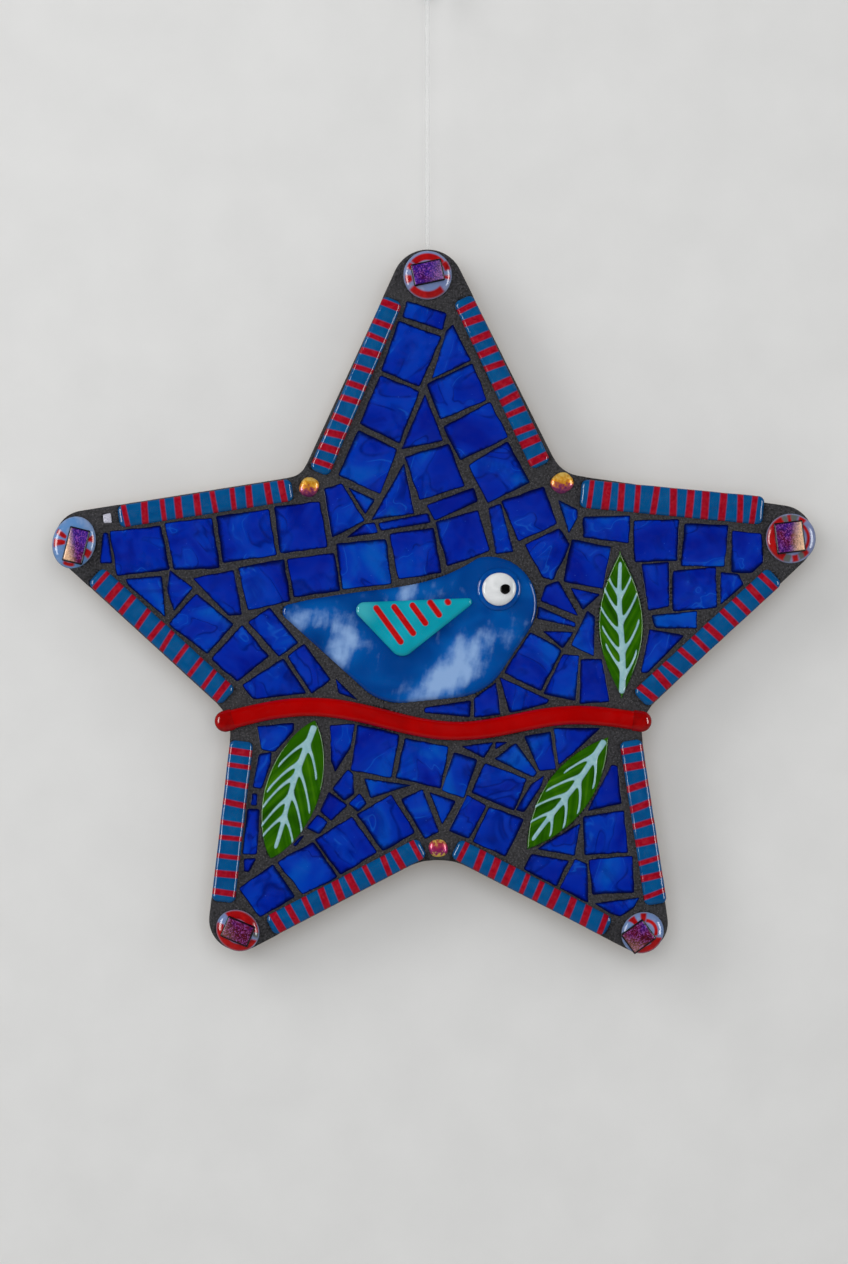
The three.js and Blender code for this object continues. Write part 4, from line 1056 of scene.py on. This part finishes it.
# Cabochons: domes of fused canes. Red and grey marks are (angle, half angle, inner and outer share of
# the radius); sky is how far the ground turns from lavender to sky blue.
cabochonGlass = {
    "form": {"wall": 2.5, "rimShare": 0.74, "rise": 2.9, "crown": 0.3}, "around": 180, "rings": 40,
    "marks": {
        "top": {"sky": 0.2, "grey": [], "red": [
            (88, 50, 0.6, 0.88), (26, 12, 0.72, 0.97), (-8, 7, 0.68, 0.92), (156, 9, 0.68, 0.9),
            (190, 10, 0.66, 0.92), (267, 50, 0.68, 0.97)]},
        "left": {"sky": 0.9, "grey": [], "red": [
            (146, 10, 0.4, 0.92), (180, 12, 0.38, 0.92), (-37, 11, 0.55, 0.95), (10, 11, 0.6, 0.9),
            (255, 14, 0.74, 0.9)]},
        "low_left": {"sky": 0.2, "grey": [(-14, 7, 0.7, 0.95)], "red": [
            (72, 54, 0.56, 0.98), (6, 12, 0.7, 0.95), (-42, 14, 0.66, 0.95), (232, 76, 0.62, 1.0)]},
        "low_right": {"sky": 0.45, "grey": [], "red": [
            (127, 11, 0.55, 0.95), (88, 10, 0.55, 0.95), (32, 44, 0.52, 0.68), (-32, 18, 0.6, 0.98),
            (288, 44, 0.66, 1.0)]},
        "right": {"sky": 0.1, "grey": [
            (108, 6, 0.6, 0.95), (79, 9, 0.6, 0.95), (261, 8, 0.66, 0.95), (299, 6, 0.66, 0.92)], "red": [
            (182, 70, 0.64, 0.97), (95, 6, 0.6, 0.95), (61, 10, 0.6, 0.95), (8, 46, 0.62, 0.74),
            (282, 9, 0.68, 0.95), (314, 9, 0.66, 0.92)]},
    },
}


# soft-edged pieces of rings, given the share of the radius and the angle of every point
def ringMarks(marks, share, angle, wander):
    field = np.zeros(share.shape)
    for at, half, inner, outer in marks:
        turned = np.abs((angle - at + 180) % 360 - 180) + 5 * wander
        past = easeBetween(inner - 0.05, inner + 0.03, share)
        short = easeBetween(outer + 0.04, outer - 0.03, share)
        field = np.maximum(field, past * short * easeBetween(half + 4, half - 4, turned))
    return field


# a dome on an oval with its marks; the outermost glass is clear
def cabochonPiece(name, material):
    plan, look = cabochonPlans[name], cabochonGlass
    form, radius = look["form"], plan["radii"].mean()
    outline = ovalOutline(plan, look["around"])
    shape = {"wall": form["wall"], "rim": (form["rimShare"] * radius, form["rise"]), "crown": form["crown"]}
    rings, depth = cushion(outline, plan["base"], shape, ringShares(look["rings"], 1.3))
    away = rings[..., :2] - plan["middle"]
    share = 1 - depth / depth.max()
    angle = np.degrees(np.arctan2(away[..., 1], away[..., 0]))
    marks, wander = look["marks"][name], waver(away[..., 0], away[..., 1], 5.0, len(name))
    values = {
        "red": ringMarks(marks["red"], share, angle, wander),
        "grey": ringMarks(marks["grey"], share, angle, wander),
        "sky": marks["sky"] + 0.35 * waver(away[..., 0], away[..., 1], 12.0, 9),
        "clear": easeBetween(0.9, 1.0, share),
    }
    addCushion(f"cabochon_{name}", rings, material, values)


# a lavender or sky blue ground with pale streaks, the red and grey marks over it, and a clear rim
def cabochonPaint(tree, flow, coords):
    ground = blendColour(tree, attribute(tree, "sky"), tone(126, 134, 176), tone(92, 140, 196))
    pale = stepValue(tree, flow["Streak"], 0.45, 0.7, 0.0, 0.4)
    streaked = blendColour(tree, pale, ground, tone(164, 176, 206))
    red = colourRamp(tree, flow["Streak"], [(0.3, tone(140, 4, 12)), (0.7, tone(192, 22, 22))])
    marked = blendColour(tree, attribute(tree, "red"), streaked, red)
    greyed = blendColour(tree, attribute(tree, "grey"), marked, tone(96, 100, 98))
    rim = calc(tree, "MULTIPLY", attribute(tree, "clear"), 0.5)
    return blendColour(tree, rim, greyed, tone(140, 152, 178))


cabochonFinish = glassMaterial("fused_cane_glass", cabochonPaint, 0.1, 0.1, 190.0)
for name in pointNames:
    cabochonPiece(name, cabochonFinish)
print("cabochons set")


# Dichroic chips: thin squares with a black edge and a crumpled metal film under a crowned face. Each has
# its own hue, and a painted sheen: a pale highlight painted towards one side (its angle and strength).
chipGlass = {
    "form": {"wall": 1.3, "rim": (1.2, 0.8), "crown": 0.3}, "sink": 0.55, "cornerCut": 0.5, "around": 160,
    "rings": 34, "crumple": 0.04, "crumpleLength": 1.6, "hueDrift": 0.022,
    "looks": {
        "top": {"hue": 0.16, "painted_sheen": (-10, 0.15)}, "left": {"hue": 0.08, "painted_sheen": (186, 1.15)},
        "low_left": {"hue": -0.17, "painted_sheen": (200, 0.12)}, "low_right": {"hue": -0.14, "painted_sheen": (250, 0.2)},
        "right": {"hue": 0.03, "painted_sheen": (-4, 1.0)},
    },
}


# a cushion on the chip's corners, sunk into the cabochon, its face crumpled; the hue drifts upwards, and
# the painted sheen, a pale highlight, grows along its own way
def chipPiece(name, material):
    corners, base = platePlan(f"chip_{name}")
    form, look = chipGlass, chipGlass["looks"][name]
    outline = evenOutline(softCorners(corners, form["cornerCut"]), form["around"])
    rings, depth = cushion(outline, base - form["sink"], form["form"], ringShares(form["rings"]))
    wrinkleFace(rings, form["crumple"], form["crumpleLength"], 31)
    away = rings[..., :2] - outline.mean(0)
    way, strength = polar(1.0, look["painted_sheen"][0]), look["painted_sheen"][1]
    values = {
        "face": easeBetween(0.4, 0.9, depth),
        "hue": look["hue"] + away[..., 1] * form["hueDrift"],
        # painted highlight: grows towards the side the sheen points to
        "painted_sheen": strength * easeBetween(-0.05, 0.85, away @ way / np.abs(away @ way).max()),
    }
    addCushion(f"chip_{name}", rings, material, values)


# a film from ruby to violet broken into flakes, dark and glittering, under a clear coat, with a pale
# highlight painted towards one side
def dichroicMaterial():
    material, tree, shader = newMaterial("dichroic_chip")
    coords = objectCoords(tree)
    flakes = cellField(tree, coords, 2500.0)
    hue = calc(tree, "ADD", noise(tree, coords, 220.0, 3.0), attribute(tree, "hue"))
    film = colourRamp(tree, hue, [
        (0.28, tone(98, 8, 30)), (0.42, tone(114, 8, 64)), (0.54, tone(84, 14, 112)),
        (0.7, tone(68, 28, 160)),
    ])
    flake, facet = flakes["Color"], flakes["Distance"]
    dark = blendColour(tree, stepValue(tree, flake, 0.5, 0.2, 0.0, 0.6), film, tone(26, 2, 34))
    glitter = blendColour(tree, stepValue(tree, flake, 0.55, 0.85, 0.0, 0.55), dark, tone(190, 104, 206))
    # painted highlight: the sheen lightens one side, most on the light flakes
    pale = calc(tree, "MULTIPLY", attribute(tree, "painted_sheen"), stepValue(tree, flake, 0.1, 0.7, 0.6, 1.3))
    paintedSheen = blendColour(tree, pale, glitter, tone(255, 208, 170))
    edged = blendColour(tree, attribute(tree, "face"), tone(8, 2, 8), paintedSheen)
    rough = stepValue(tree, facet, 0.1, 0.7, 0.28, 0.46)
    linkFinish(tree, shader, edged, rough, bumpFrom(tree, facet, 0.3, 0.0004))
    tree.links.new(calc(tree, "MULTIPLY", attribute(tree, "face"), 0.3), shader["Metallic"])
    setFinish(shader, {"Specular IOR Level": 0.2, "Coat Weight": 0.5, "Coat Roughness": 0.08})
    return material


dichroic = dichroicMaterial()
for name in pointNames:
    chipPiece(name, dichroic)
print("chips set")


# nuggets: small uneven beads with an iridescent skin, gold or ruby
nuggetGlass = {
    "wall": 2.3, "rimShare": 0.93, "crown": 0.2, "uneven": 0.05, "around": 72, "rings": 22,
    "ruby": ["bottom"],
}


# an uneven circle that waves two and four times round, under a dome as high as the solid
def nuggetPiece(name, number, material):
    plan, look = nuggetPlans[name], nuggetGlass
    sines = [(2, 1.0, number), (4, 0.6, 2 * number)]
    outline = unevenCircle(plan, look["around"], look["uneven"], sines)
    rim = look["rimShare"] * np.linalg.norm(outline - plan["middle"], axis=1).min()
    rise = plan["top"] - plan["base"] - look["wall"] - look["crown"]
    form = {"wall": look["wall"], "rim": (rim, rise), "crown": look["crown"]}
    rings, _ = cushion(outline, plan["base"], form, ringShares(look["rings"], 1.3))
    values = {
        "lift": (rings[..., 1] - plan["middle"][1]) / plan["radii"].mean(),
        "ruby": np.full(rings.shape[:2], float(name in look["ruby"])),
    }
    addCushion(f"nugget_{name}", rings, material, values)


# colours that change with height on the bead: gold over rose, or ruby between two gold rims
def iridescentMaterial():
    material, tree, shader = newMaterial("iridescent_nugget")
    coords = objectCoords(tree)
    wander = calc(tree, "SUBTRACT", noise(tree, coords, 900.0, 5.0), 0.5)
    lifted = calc(tree, "ADD", calc(tree, "MULTIPLY", attribute(tree, "lift"), 0.5), wander)
    level = calc(tree, "ADD", lifted, 0.5)
    gold = colourRamp(tree, level, [
        (0.1, tone(112, 34, 98)), (0.32, tone(166, 62, 102)), (0.46, tone(206, 112, 50)),
        (0.64, tone(240, 166, 24)), (0.95, tone(255, 214, 110)),
    ])
    ruby = colourRamp(tree, level, [
        (0.14, tone(236, 196, 84)), (0.25, tone(150, 30, 110)), (0.48, tone(176, 28, 90)),
        (0.76, tone(198, 72, 78)), (0.95, tone(250, 212, 96)),
    ])
    skin = blendColour(tree, attribute(tree, "ruby"), gold, ruby)
    rough = stepValue(tree, noise(tree, coords, 900.0), 0.3, 0.7, 0.28, 0.45)
    linkFinish(tree, shader, skin, rough, bumpFrom(tree, noise(tree, coords, 1300.0), 0.25, 0.0004))
    setFinish(shader, {"Metallic": 0.4, "Coat Weight": 0.8, "Coat Roughness": 0.12})
    return material


iridescent = iridescentMaterial()
for number, name in enumerate(nuggetNames):
    nuggetPiece(name, number, iridescent)


# the pale chip: a broken bit of frosted glass, flush in the grout
paleChip = {
    "form": {"wall": 2.6, "rim": (0.7, 0.6), "crown": 0.2}, "cornerCut": 0.6, "ragged": 0.35, "shrink": 0.84,
    "around": 72, "rings": 16, "uneven": 0.14, "waveLength": 2.2,
}
palePaint = plainPaint("Smudge", [(0.3, tone(168, 168, 186)), (0.7, tone(214, 214, 226))])


# the plate's corners drawn in and shifted at random, under a low uneven cushion
def palePiece():
    corners, base = platePlan("pale_chip")
    corners = corners.mean(0) + (corners - corners.mean(0)) * paleChip["shrink"]
    corners = corners + paleChip["ragged"] * np.random.default_rng(2).uniform(-1, 1, corners.shape)
    outline = evenOutline(softCorners(corners, paleChip["cornerCut"]), paleChip["around"])
    rings, _ = cushion(outline, base, paleChip["form"], ringShares(paleChip["rings"]))
    wrinkleFace(rings, paleChip["uneven"], paleChip["waveLength"], 6)
    finish = glassMaterial("frosted_chip", palePaint, 0.3, 0.4, 500.0)
    addCushion("pale_chip", rings, finish)


palePiece()
print("nuggets and pale chip set")


# red rod glass; the ends are darker red glass
redPaint = plainPaint("Streak", [(0.3, tone(158, 0, 0)), (0.55, tone(172, 0, 0)), (0.75, tone(181, 2, 2))])
darkRedPaint = plainPaint("Streak", [(0.3, tone(120, 2, 2)), (0.7, tone(164, 4, 4))])


# the rod: a flat bar with rounded edges carried along the twig's line, a little uneven in width
def twigPiece():
    x = np.linspace(twig["left"], twig["right"], twig["rows"])[:, None]
    share = np.sin(np.linspace(-np.pi / 2, np.pi / 2, twig["columns"])) + 0 * x
    x = np.broadcast_to(x, share.shape)
    flat = twigPoints(x, share * (1 + twig["uneven"] * waver(x, 0 * x, twig["unevenLength"], 77)))
    depth = (1 - np.abs(share)) * twig["width"] / 2
    height = twig["base"] + twig["wall"] + rimHeight(depth, *twig["rim"]) + twig["crown"] * (1 - share**2)
    sheet = atHeight(flat, height)
    finish = glassMaterial("red_rod_glass", redPaint, 0.07, 0.12, 60.0)
    addPiece("twig_rod", sheetSkin(sheet, twig["base"]), finish, ["twig"])


# an end as a cushion whose rim runs on past the square side, so that it meets the rod at full height
def twigEnd(sign, nodeName, finish):
    outline, longer = twigEndOutline(sign), twigEndOutline(sign, 400, -twig["endOverlap"])
    shares = ringShares(twig["endRings"])
    rings, _ = cushion(outline, twig["base"], twig["endForm"], shares, rimOutline=longer)
    addCushion(nodeName, rings, finish)


twigPiece()
darkRed = glassMaterial("dark_red_glass", darkRedPaint, 0.06, 0.1, 150.0)
twigEnd(-1, "twig_end_left", darkRed)
twigEnd(1, "twig_end_right", darkRed)
print("twig set")


# bird glass: streaky blue with hairy wisps of white, gathered where the clouds are, and painted shade round
# its edge
def birdPaint(tree, flow, coords):
    body = colourRamp(tree, flow["Swirl"], [
        (0.3, tone(0, 47, 119)), (0.5, tone(0, 68, 148)), (0.72, tone(2, 92, 176)),
    ])
    inputs = {"Vector": coords, "Rotation": (0, 0.22, 0), "Scale": (1.0, 1.0, 3.2)}
    drawn = addNode(tree, "ShaderNodeMapping", inputs, vector_type="TEXTURE").outputs[0]
    wisps = calc(tree, "SUBTRACT", noise(tree, drawn, 230.0, 8.0, 0.3), 0.5)
    broad = calc(tree, "SUBTRACT", noise(tree, coords, 120.0, 4.0), 0.5)
    ragged = calc(tree, "ADD", calc(tree, "MULTIPLY", wisps, 1.1), calc(tree, "MULTIPLY", broad, 1.6))
    haze = stepValue(tree, attribute(tree, "cloud"), -0.1, 0.8, 0.0, 0.7)
    hazy = blendColour(tree, haze, body, tone(6, 104, 192))
    gathered = calc(tree, "ADD", attribute(tree, "cloud"), ragged)
    misted = blendColour(tree, stepValue(tree, gathered, 0.2, 1.1, 0.0, 0.92), hazy, tone(148, 182, 228))
    # painted shade: darker in a band round the edge, where the rim turns down
    paintedRimShade = stepValue(tree, attribute(tree, "edge"), 2.4, 0.6, 0.0, 0.2)
    return blendColour(tree, paintedRimShade, misted, tone(0, 44, 112))


# a cushion on the bird's outline; the clouds are bell curves over turned ovals, added up
def birdPiece():
    outline = birdOutline()
    rings, depth = cushion(outline, bird["base"], bird["form"], ringShares(bird["rings"]), bird["middle"])
    wrinkleFace(rings, bird["uneven"], bird["waveLength"], 12)
    cloud = np.full(rings.shape[:2], -0.15)
    for x, y, reach, breadth, turn, strength in bird["clouds"]:
        away, way = rings[..., :2] - (x, y), polar(1.0, turn)
        far = ((away @ way) / reach) ** 2 + ((away @ leftOf(way)) / breadth) ** 2
        cloud = cloud + strength * np.exp(-far)
    finish = glassMaterial("streaky_blue_glass", birdPaint, 0.06, 0.2, 70.0, 1.2)
    addCushion("bird_body", rings, finish, {"cloud": cloud, "edge": depth})


# depth inside a rod with round ends: half its width less the distance to its middle line
def depthInRod(points, middle, way, halfLength, halfWidth):
    away = points - np.asarray(middle)
    run = np.clip(away @ way, -halfLength, halfLength)
    return halfWidth - np.linalg.norm(away - run[..., None] * way, axis=-1)


# the wing: a cushion with red bars fused on, which stand a little proud
def wingPiece():
    outline = evenOutline(bandOfCircles(wing["circles"]), wing["around"])
    rings, _ = cushion(outline, wing["base"], wing["form"], ringShares(wing["rings"], 1.15), wing["middle"])
    flat, way, halfWidth = rings[..., :2], polar(1.0, wing["slant"]), wing["barHalfWidth"]
    bars = [depthInRod(flat, (x, y), way, half, halfWidth) for x, y, half in wing["bars"]]
    bar = np.max(bars, axis=0)
    rings[2:, :, 2] += rimHeight(bar, halfWidth, wing["barRise"])[2:]
    # painted highlight: paler towards the wing's left end
    far = np.linalg.norm(flat - np.array(wing["paintedHighlightFrom"]), axis=-1)
    values = {"bar": easeBetween(-0.15, 0.2, bar), "pale": 1 - easeBetween(0, wing["paintedHighlightReach"], far)}
    finish = glassMaterial("turquoise_wing_glass", wingPaint, 0.06, 0.12, 90.0)
    addCushion("bird_wing", rings, finish, values)


# turquoise, with a painted highlight that pales its left end, and the red bars
def wingPaint(tree, flow, coords):
    body = colourRamp(tree, flow["Swirl"], [(0.3, tone(4, 144, 164)), (0.7, tone(20, 170, 192))])
    # painted highlight: the left end lightened towards pale turquoise
    pale = blendColour(tree, calc(tree, "MULTIPLY", attribute(tree, "pale"), 0.45), body, tone(90, 200, 206))
    red = colourRamp(tree, flow["Smudge"], [(0.3, tone(172, 8, 14)), (0.7, tone(196, 18, 20))])
    return blendColour(tree, attribute(tree, "bar"), pale, red)


birdPiece()
wingPiece()


# the eye: a blue base, a white dome and a black pupil, each sunk a little into what carries it
eyeForms = {
    "around": 160, "rings": 30,
    "base": {"form": {"wall": 0.3, "rim": (2.0, 1.3), "crown": 0.1}, "sink": 0.4, "uneven": 0.01},
    "white": {"form": {"wall": 0.7, "rim": (3.4, 1.6), "crown": 0.35}, "sink": 0.45, "uneven": 0.02},
    "pupil": {"form": {"wall": 0.35, "rim": (1.4, 0.5), "crown": 0.12}, "sink": 0.25, "uneven": 0.03},
}


# an uneven circle that waves two and three times round, under a dome
def eyePiece(part, material):
    plan, look = ovalPlan(f"eye_{part}"), eyeForms[part]
    outline = unevenCircle(plan, eyeForms["around"], look["uneven"], [(2, 1.0, 0.8), (3, 0.4, 0.0)])
    rings, _ = cushion(outline, plan["base"] - look["sink"], look["form"], ringShares(eyeForms["rings"]))
    addCushion(f"eye_{part}", rings, material)


basePaint = plainPaint("Streak", [(0.3, tone(0, 60, 138)), (0.7, tone(4, 84, 168))])
whitePaint = plainPaint("Streak", [(0.3, tone(216, 219, 221)), (0.7, tone(238, 240, 242))])
blackPaint = plainPaint("Streak", [(0.3, tone(6, 6, 6)), (0.7, tone(18, 18, 18))])

eyePiece("base", glassMaterial("blue_base_glass", basePaint, 0.05, 0.05, 160.0))
eyePiece("white", glassMaterial("white_dome_glass", whitePaint, 0.06, 0.08, 160.0))
eyePiece("pupil", glassMaterial("black_pupil_glass", blackPaint, 0.06, 0.05, 300.0))
print("bird set")


# Leaf: a sheet over its length and width. Its veins are a midrib and side veins that leave it at an
# angle towards the tip; their fields add up, so that glass gathers in the forks.
def leafPiece(name, material):
    leaf, form = leaves[name], leafForm
    stem, along, across, length = leafFrame(leaf)
    share = np.linspace(0.004, 0.996, form["rows"])[:, None]
    half = np.maximum(leafHalfWidth(leaf, share), form["blunt"])
    side = half * np.linspace(-1, 1, form["columns"])
    run = np.broadcast_to(share * length, side.shape)
    flat = stem + run[..., None] * along + side[..., None] * across
    depth = np.minimum(half - np.abs(side), np.minimum(run, length - run) * 0.6)
    height = form["base"] + form["wall"] + rimHeight(np.maximum(depth, 0), *form["rim"])
    height = height + form["crown"] * (1 - (side / half) ** 2)

    rng = np.random.default_rng(leaf["seed"])
    sway = 0.5 * np.sin(run / length * 7 + leaf["seed"])
    rib = form["ribWidth"][0] + (form["ribWidth"][1] - form["ribWidth"][0]) * run / length
    inRib = easeBetween(0.02, 0.05, run / length) * easeBetween(0.95, 0.9, run / length)
    field = np.exp(-((side - sway) / rib) ** 2) * inRib
    slope = np.tan(np.radians(form["veinAngle"]))
    for sign, count in zip((-1, 1), leaf["sides"]):
        starts = np.linspace(*form["veinStarts"], count) + (0.03 if sign > 0 else 0)
        starts = starts + rng.uniform(-0.02, 0.02, count)
        for start in starts:
            out = sign * (side - sway)
            reach = form["veinReach"] * leafHalfWidth(leaf, min(start + 0.12, 0.97))
            lean = slope * rng.uniform(0.85, 1.2)
            t = np.clip(out / reach, 0, 1)
            away = (run - start * length - out / lean * (0.65 + 0.6 * t)) * np.sin(np.arctan(lean))
            width = form["veinWidth"][0] + (form["veinWidth"][1] - form["veinWidth"][0]) * t
            width = width + 0.22 * np.exp(-(((t - 0.94) / 0.09) ** 2))
            ends = easeBetween(-0.5, 0.2, out) * easeBetween(reach + 0.5, reach - 0.1, out)
            field = field + 0.9 * np.exp(-(away / width) ** 2) * ends
    vein = easeBetween(0.42, 0.6, field)
    height = height + form["veinRise"] * easeBetween(0.35, 1.1, field)
    sheet = atHeight(flat, height)
    values = {"vein": vein, "slip": np.abs(side) - run * 0.55}
    addSheet(f"leaf_{name}", sheet, form["base"], material, values)


# green sheet glass with dark streaks that slip outwards as the veins do
def leafPaint(tree, flow, coords):
    slip = calc(tree, "MULTIPLY", attribute(tree, "slip"), 0.22)
    place = addNode(tree, "ShaderNodeCombineXYZ", {0: slip}).outputs[0]
    lines = calc(tree, "MULTIPLY", noise(tree, place, 1.6, 3.0), 0.7)
    shade = calc(tree, "ADD", lines, calc(tree, "MULTIPLY", flow["Streak"], 0.3))
    greens = [(0.32, tone(15, 55, 0)), (0.5, tone(38, 94, 0)), (0.68, tone(64, 120, 4))]
    body = colourRamp(tree, shade, greens)
    vein = colourRamp(tree, flow["Smudge"], [(0.3, tone(138, 184, 194)), (0.7, tone(166, 204, 210))])
    return blendColour(tree, attribute(tree, "vein"), body, vein)


leafFinish = glassMaterial("green_leaf_glass", leafPaint, 0.07, 0.15, 110.0)
for name in leaves:
    leafPiece(name, leafFinish)
print("leaves set")


# the board's back: brown fibreboard with a fine felted grain and a few darker chips
def boardMaterial():
    material, tree, shader = newMaterial("fibre_board")
    coords = objectCoords(tree)
    drawn = addNode(tree, "ShaderNodeMapping", {"Vector": coords, "Scale": (500, 500, 1600)}).outputs[0]
    felt = noise(tree, drawn, 1.0, 5.0)
    cloudy = noise(tree, coords, 35.0, 3.0)
    base = colourRamp(tree, felt, [(0.3, tone(120, 92, 62)), (0.7, tone(166, 134, 98))])
    worn = blendColour(tree, stepValue(tree, cloudy, 0.4, 0.75, 0.0, 0.4), base, tone(134, 108, 78))
    chips = cellField(tree, coords, 420.0)["Distance"]
    flecked = blendColour(tree, stepValue(tree, chips, 0.14, 0.07, 0.0, 0.5), worn, tone(82, 58, 36))
    rough = stepValue(tree, felt, 0.3, 0.7, 0.7, 0.9)
    linkFinish(tree, shader, flecked, rough, bumpFrom(tree, felt, 0.3, 0.0003))
    return material


# the board keeps its own solid and gets a finish
def dressBoard():
    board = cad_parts["backing_board"]
    board.data.materials.clear()
    board.data.materials.append(boardMaterial())


dressBoard()
print("board dressed")


# studio: two soft boxes and a light in front for the surfaces, two upright ones at the sides that only
# show as reflections in the glass, and one for the back
studioLights = {
    "softbox_left": {"place": (-1000, 620, 780), "size": (0.55, 1.0), "power": 5.3, "mirrored": False},
    "softbox_right": {"place": (1000, 560, 780), "size": (0.55, 1.0), "power": 1.0, "mirrored": False},
    "front_light": {"place": (0, 200, 1500), "size": (0.9, 0.9), "power": 7.1, "mirrored": False},
    "side_box_left": {"place": (-1100, 140, 520), "size": (0.32, 0.9), "power": 10.5, "mirrored": True},
    "side_box_right": {"place": (1100, 60, 520), "size": (0.32, 0.9), "power": 9.0, "mirrored": True},
    "back_fill": {"place": (300, 500, -1500), "size": (1.4, 1.4), "power": 14.0, "mirrored": False},
}
backdrop = {
    "wall": -6.0, "floor": -1500.0, "bend": 500.0, "bendSteps": 13, "halfWidth": 3200.0, "wallTop": 2600.0,
    "floorFront": 3400.0, "dimmedInGlass": 0.75,
}
room = {"fill": 0.43, "inGlass": 0.01, "seen": 0.23}


# an area light at a place in the layout, turned to the middle of the panel
def placeLight(name, light):
    data = bpy.data.lights.new(name, "AREA")
    data.shape = "RECTANGLE"
    data.size, data.size_y = light["size"]
    data.energy = light["power"]
    lamp = bpy.data.objects.new(name, data)
    place = toWorld(light["place"])
    lamp.location = place
    away = place / np.linalg.norm(place)
    lamp.rotation_euler = (np.arccos(away[2]), 0, np.arctan2(away[1], away[0]) + np.pi / 2)
    lamp.visible_glossy, lamp.visible_diffuse = light["mirrored"], not light["mirrored"]
    scene.collection.objects.link(lamp)


# a paper sweep behind and below the panel: floor, a quarter circle, then upright; seen from behind it
# is clear, so that it hides nothing
def addBackdrop(b):
    angle = np.linspace(0, np.pi / 2, b["bendSteps"])
    front, up = b["wall"] + b["bend"] * (1 - np.sin(angle)), b["floor"] + b["bend"] * (1 - np.cos(angle))
    ends = [(b["floorFront"], b["floor"])], [(b["wall"], b["wallTop"])]
    profile = np.concatenate([ends[0], np.column_stack([front, up]), ends[1]])
    sides = np.broadcast_to([-b["halfWidth"], b["halfWidth"]], (len(profile), 2))
    rows = np.stack([sides, profile[:, 1:] + 0 * sides, profile[:, :1] + 0 * sides], axis=-1)
    grid = np.arange(rows.shape[0] * 2).reshape(-1, 2)
    quads = np.stack([grid[:-1, 0], grid[:-1, 1], grid[1:, 1], grid[1:, 0]], axis=-1)
    mesh = bpy.data.meshes.new("backdrop")
    mesh.from_pydata(toWorld(rows).reshape(-1, 3).tolist(), [], quads.tolist())
    mesh.polygons.foreach_set("use_smooth", np.ones(len(quads), bool))
    mesh.materials.append(paperMaterial(b))
    sweep = bpy.data.objects.new("backdrop", mesh)
    sweep.visible_shadow = False
    scene.collection.objects.link(sweep)


# pale paper that glass reflects darker than it is, and that is clear from behind
def paperMaterial(b):
    material, tree, shader = newMaterial("backdrop_paper")
    fibre = noise(tree, objectCoords(tree), 40.0, 4.0)
    tint = colourRamp(tree, fibre, [(0.3, tone(226, 226, 225)), (0.7, tone(230, 230, 229))])
    inGlass = addNode(tree, "ShaderNodeLightPath").outputs["Is Glossy Ray"]
    mirrored = calc(tree, "MULTIPLY", inGlass, b["dimmedInGlass"])
    tree.links.new(blendColour(tree, mirrored, tint, tone(40, 40, 40)), shader["Base Color"])
    setFinish(shader, {"Roughness": 0.95, "Specular IOR Level": 0.0})
    behind = addNode(tree, "ShaderNodeNewGeometry").outputs["Backfacing"]
    clear = addNode(tree, "ShaderNodeBsdfTransparent").outputs[0]
    paper = tree.nodes["Principled BSDF"].outputs[0]
    mixed = addNode(tree, "ShaderNodeMixShader", {0: behind, 1: paper, 2: clear}).outputs[0]
    tree.links.new(mixed, tree.nodes["Material Output"].inputs["Surface"])
    return material


# a softly lit room: dark in reflections, pale where the camera looks straight at it
def dimRoom():
    world = bpy.data.worlds.new("room")
    world.use_nodes = True
    tree = world.node_tree
    path = addNode(tree, "ShaderNodeLightPath").outputs
    lit = stepValue(tree, path["Is Glossy Ray"], 0.0, 1.0, room["fill"], room["inGlass"])
    strength = calc(tree, "ADD", lit, calc(tree, "MULTIPLY", path["Is Camera Ray"], room["seen"]))
    background = tree.nodes["Background"]
    background.inputs["Color"].default_value = (1.0, 1.0, 1.0, 1.0)
    tree.links.new(strength, background.inputs["Strength"])
    scene.world = world


for name, light in studioLights.items():
    placeLight(name, light)
addBackdrop(backdrop)
dimRoom()
print("studio lit")
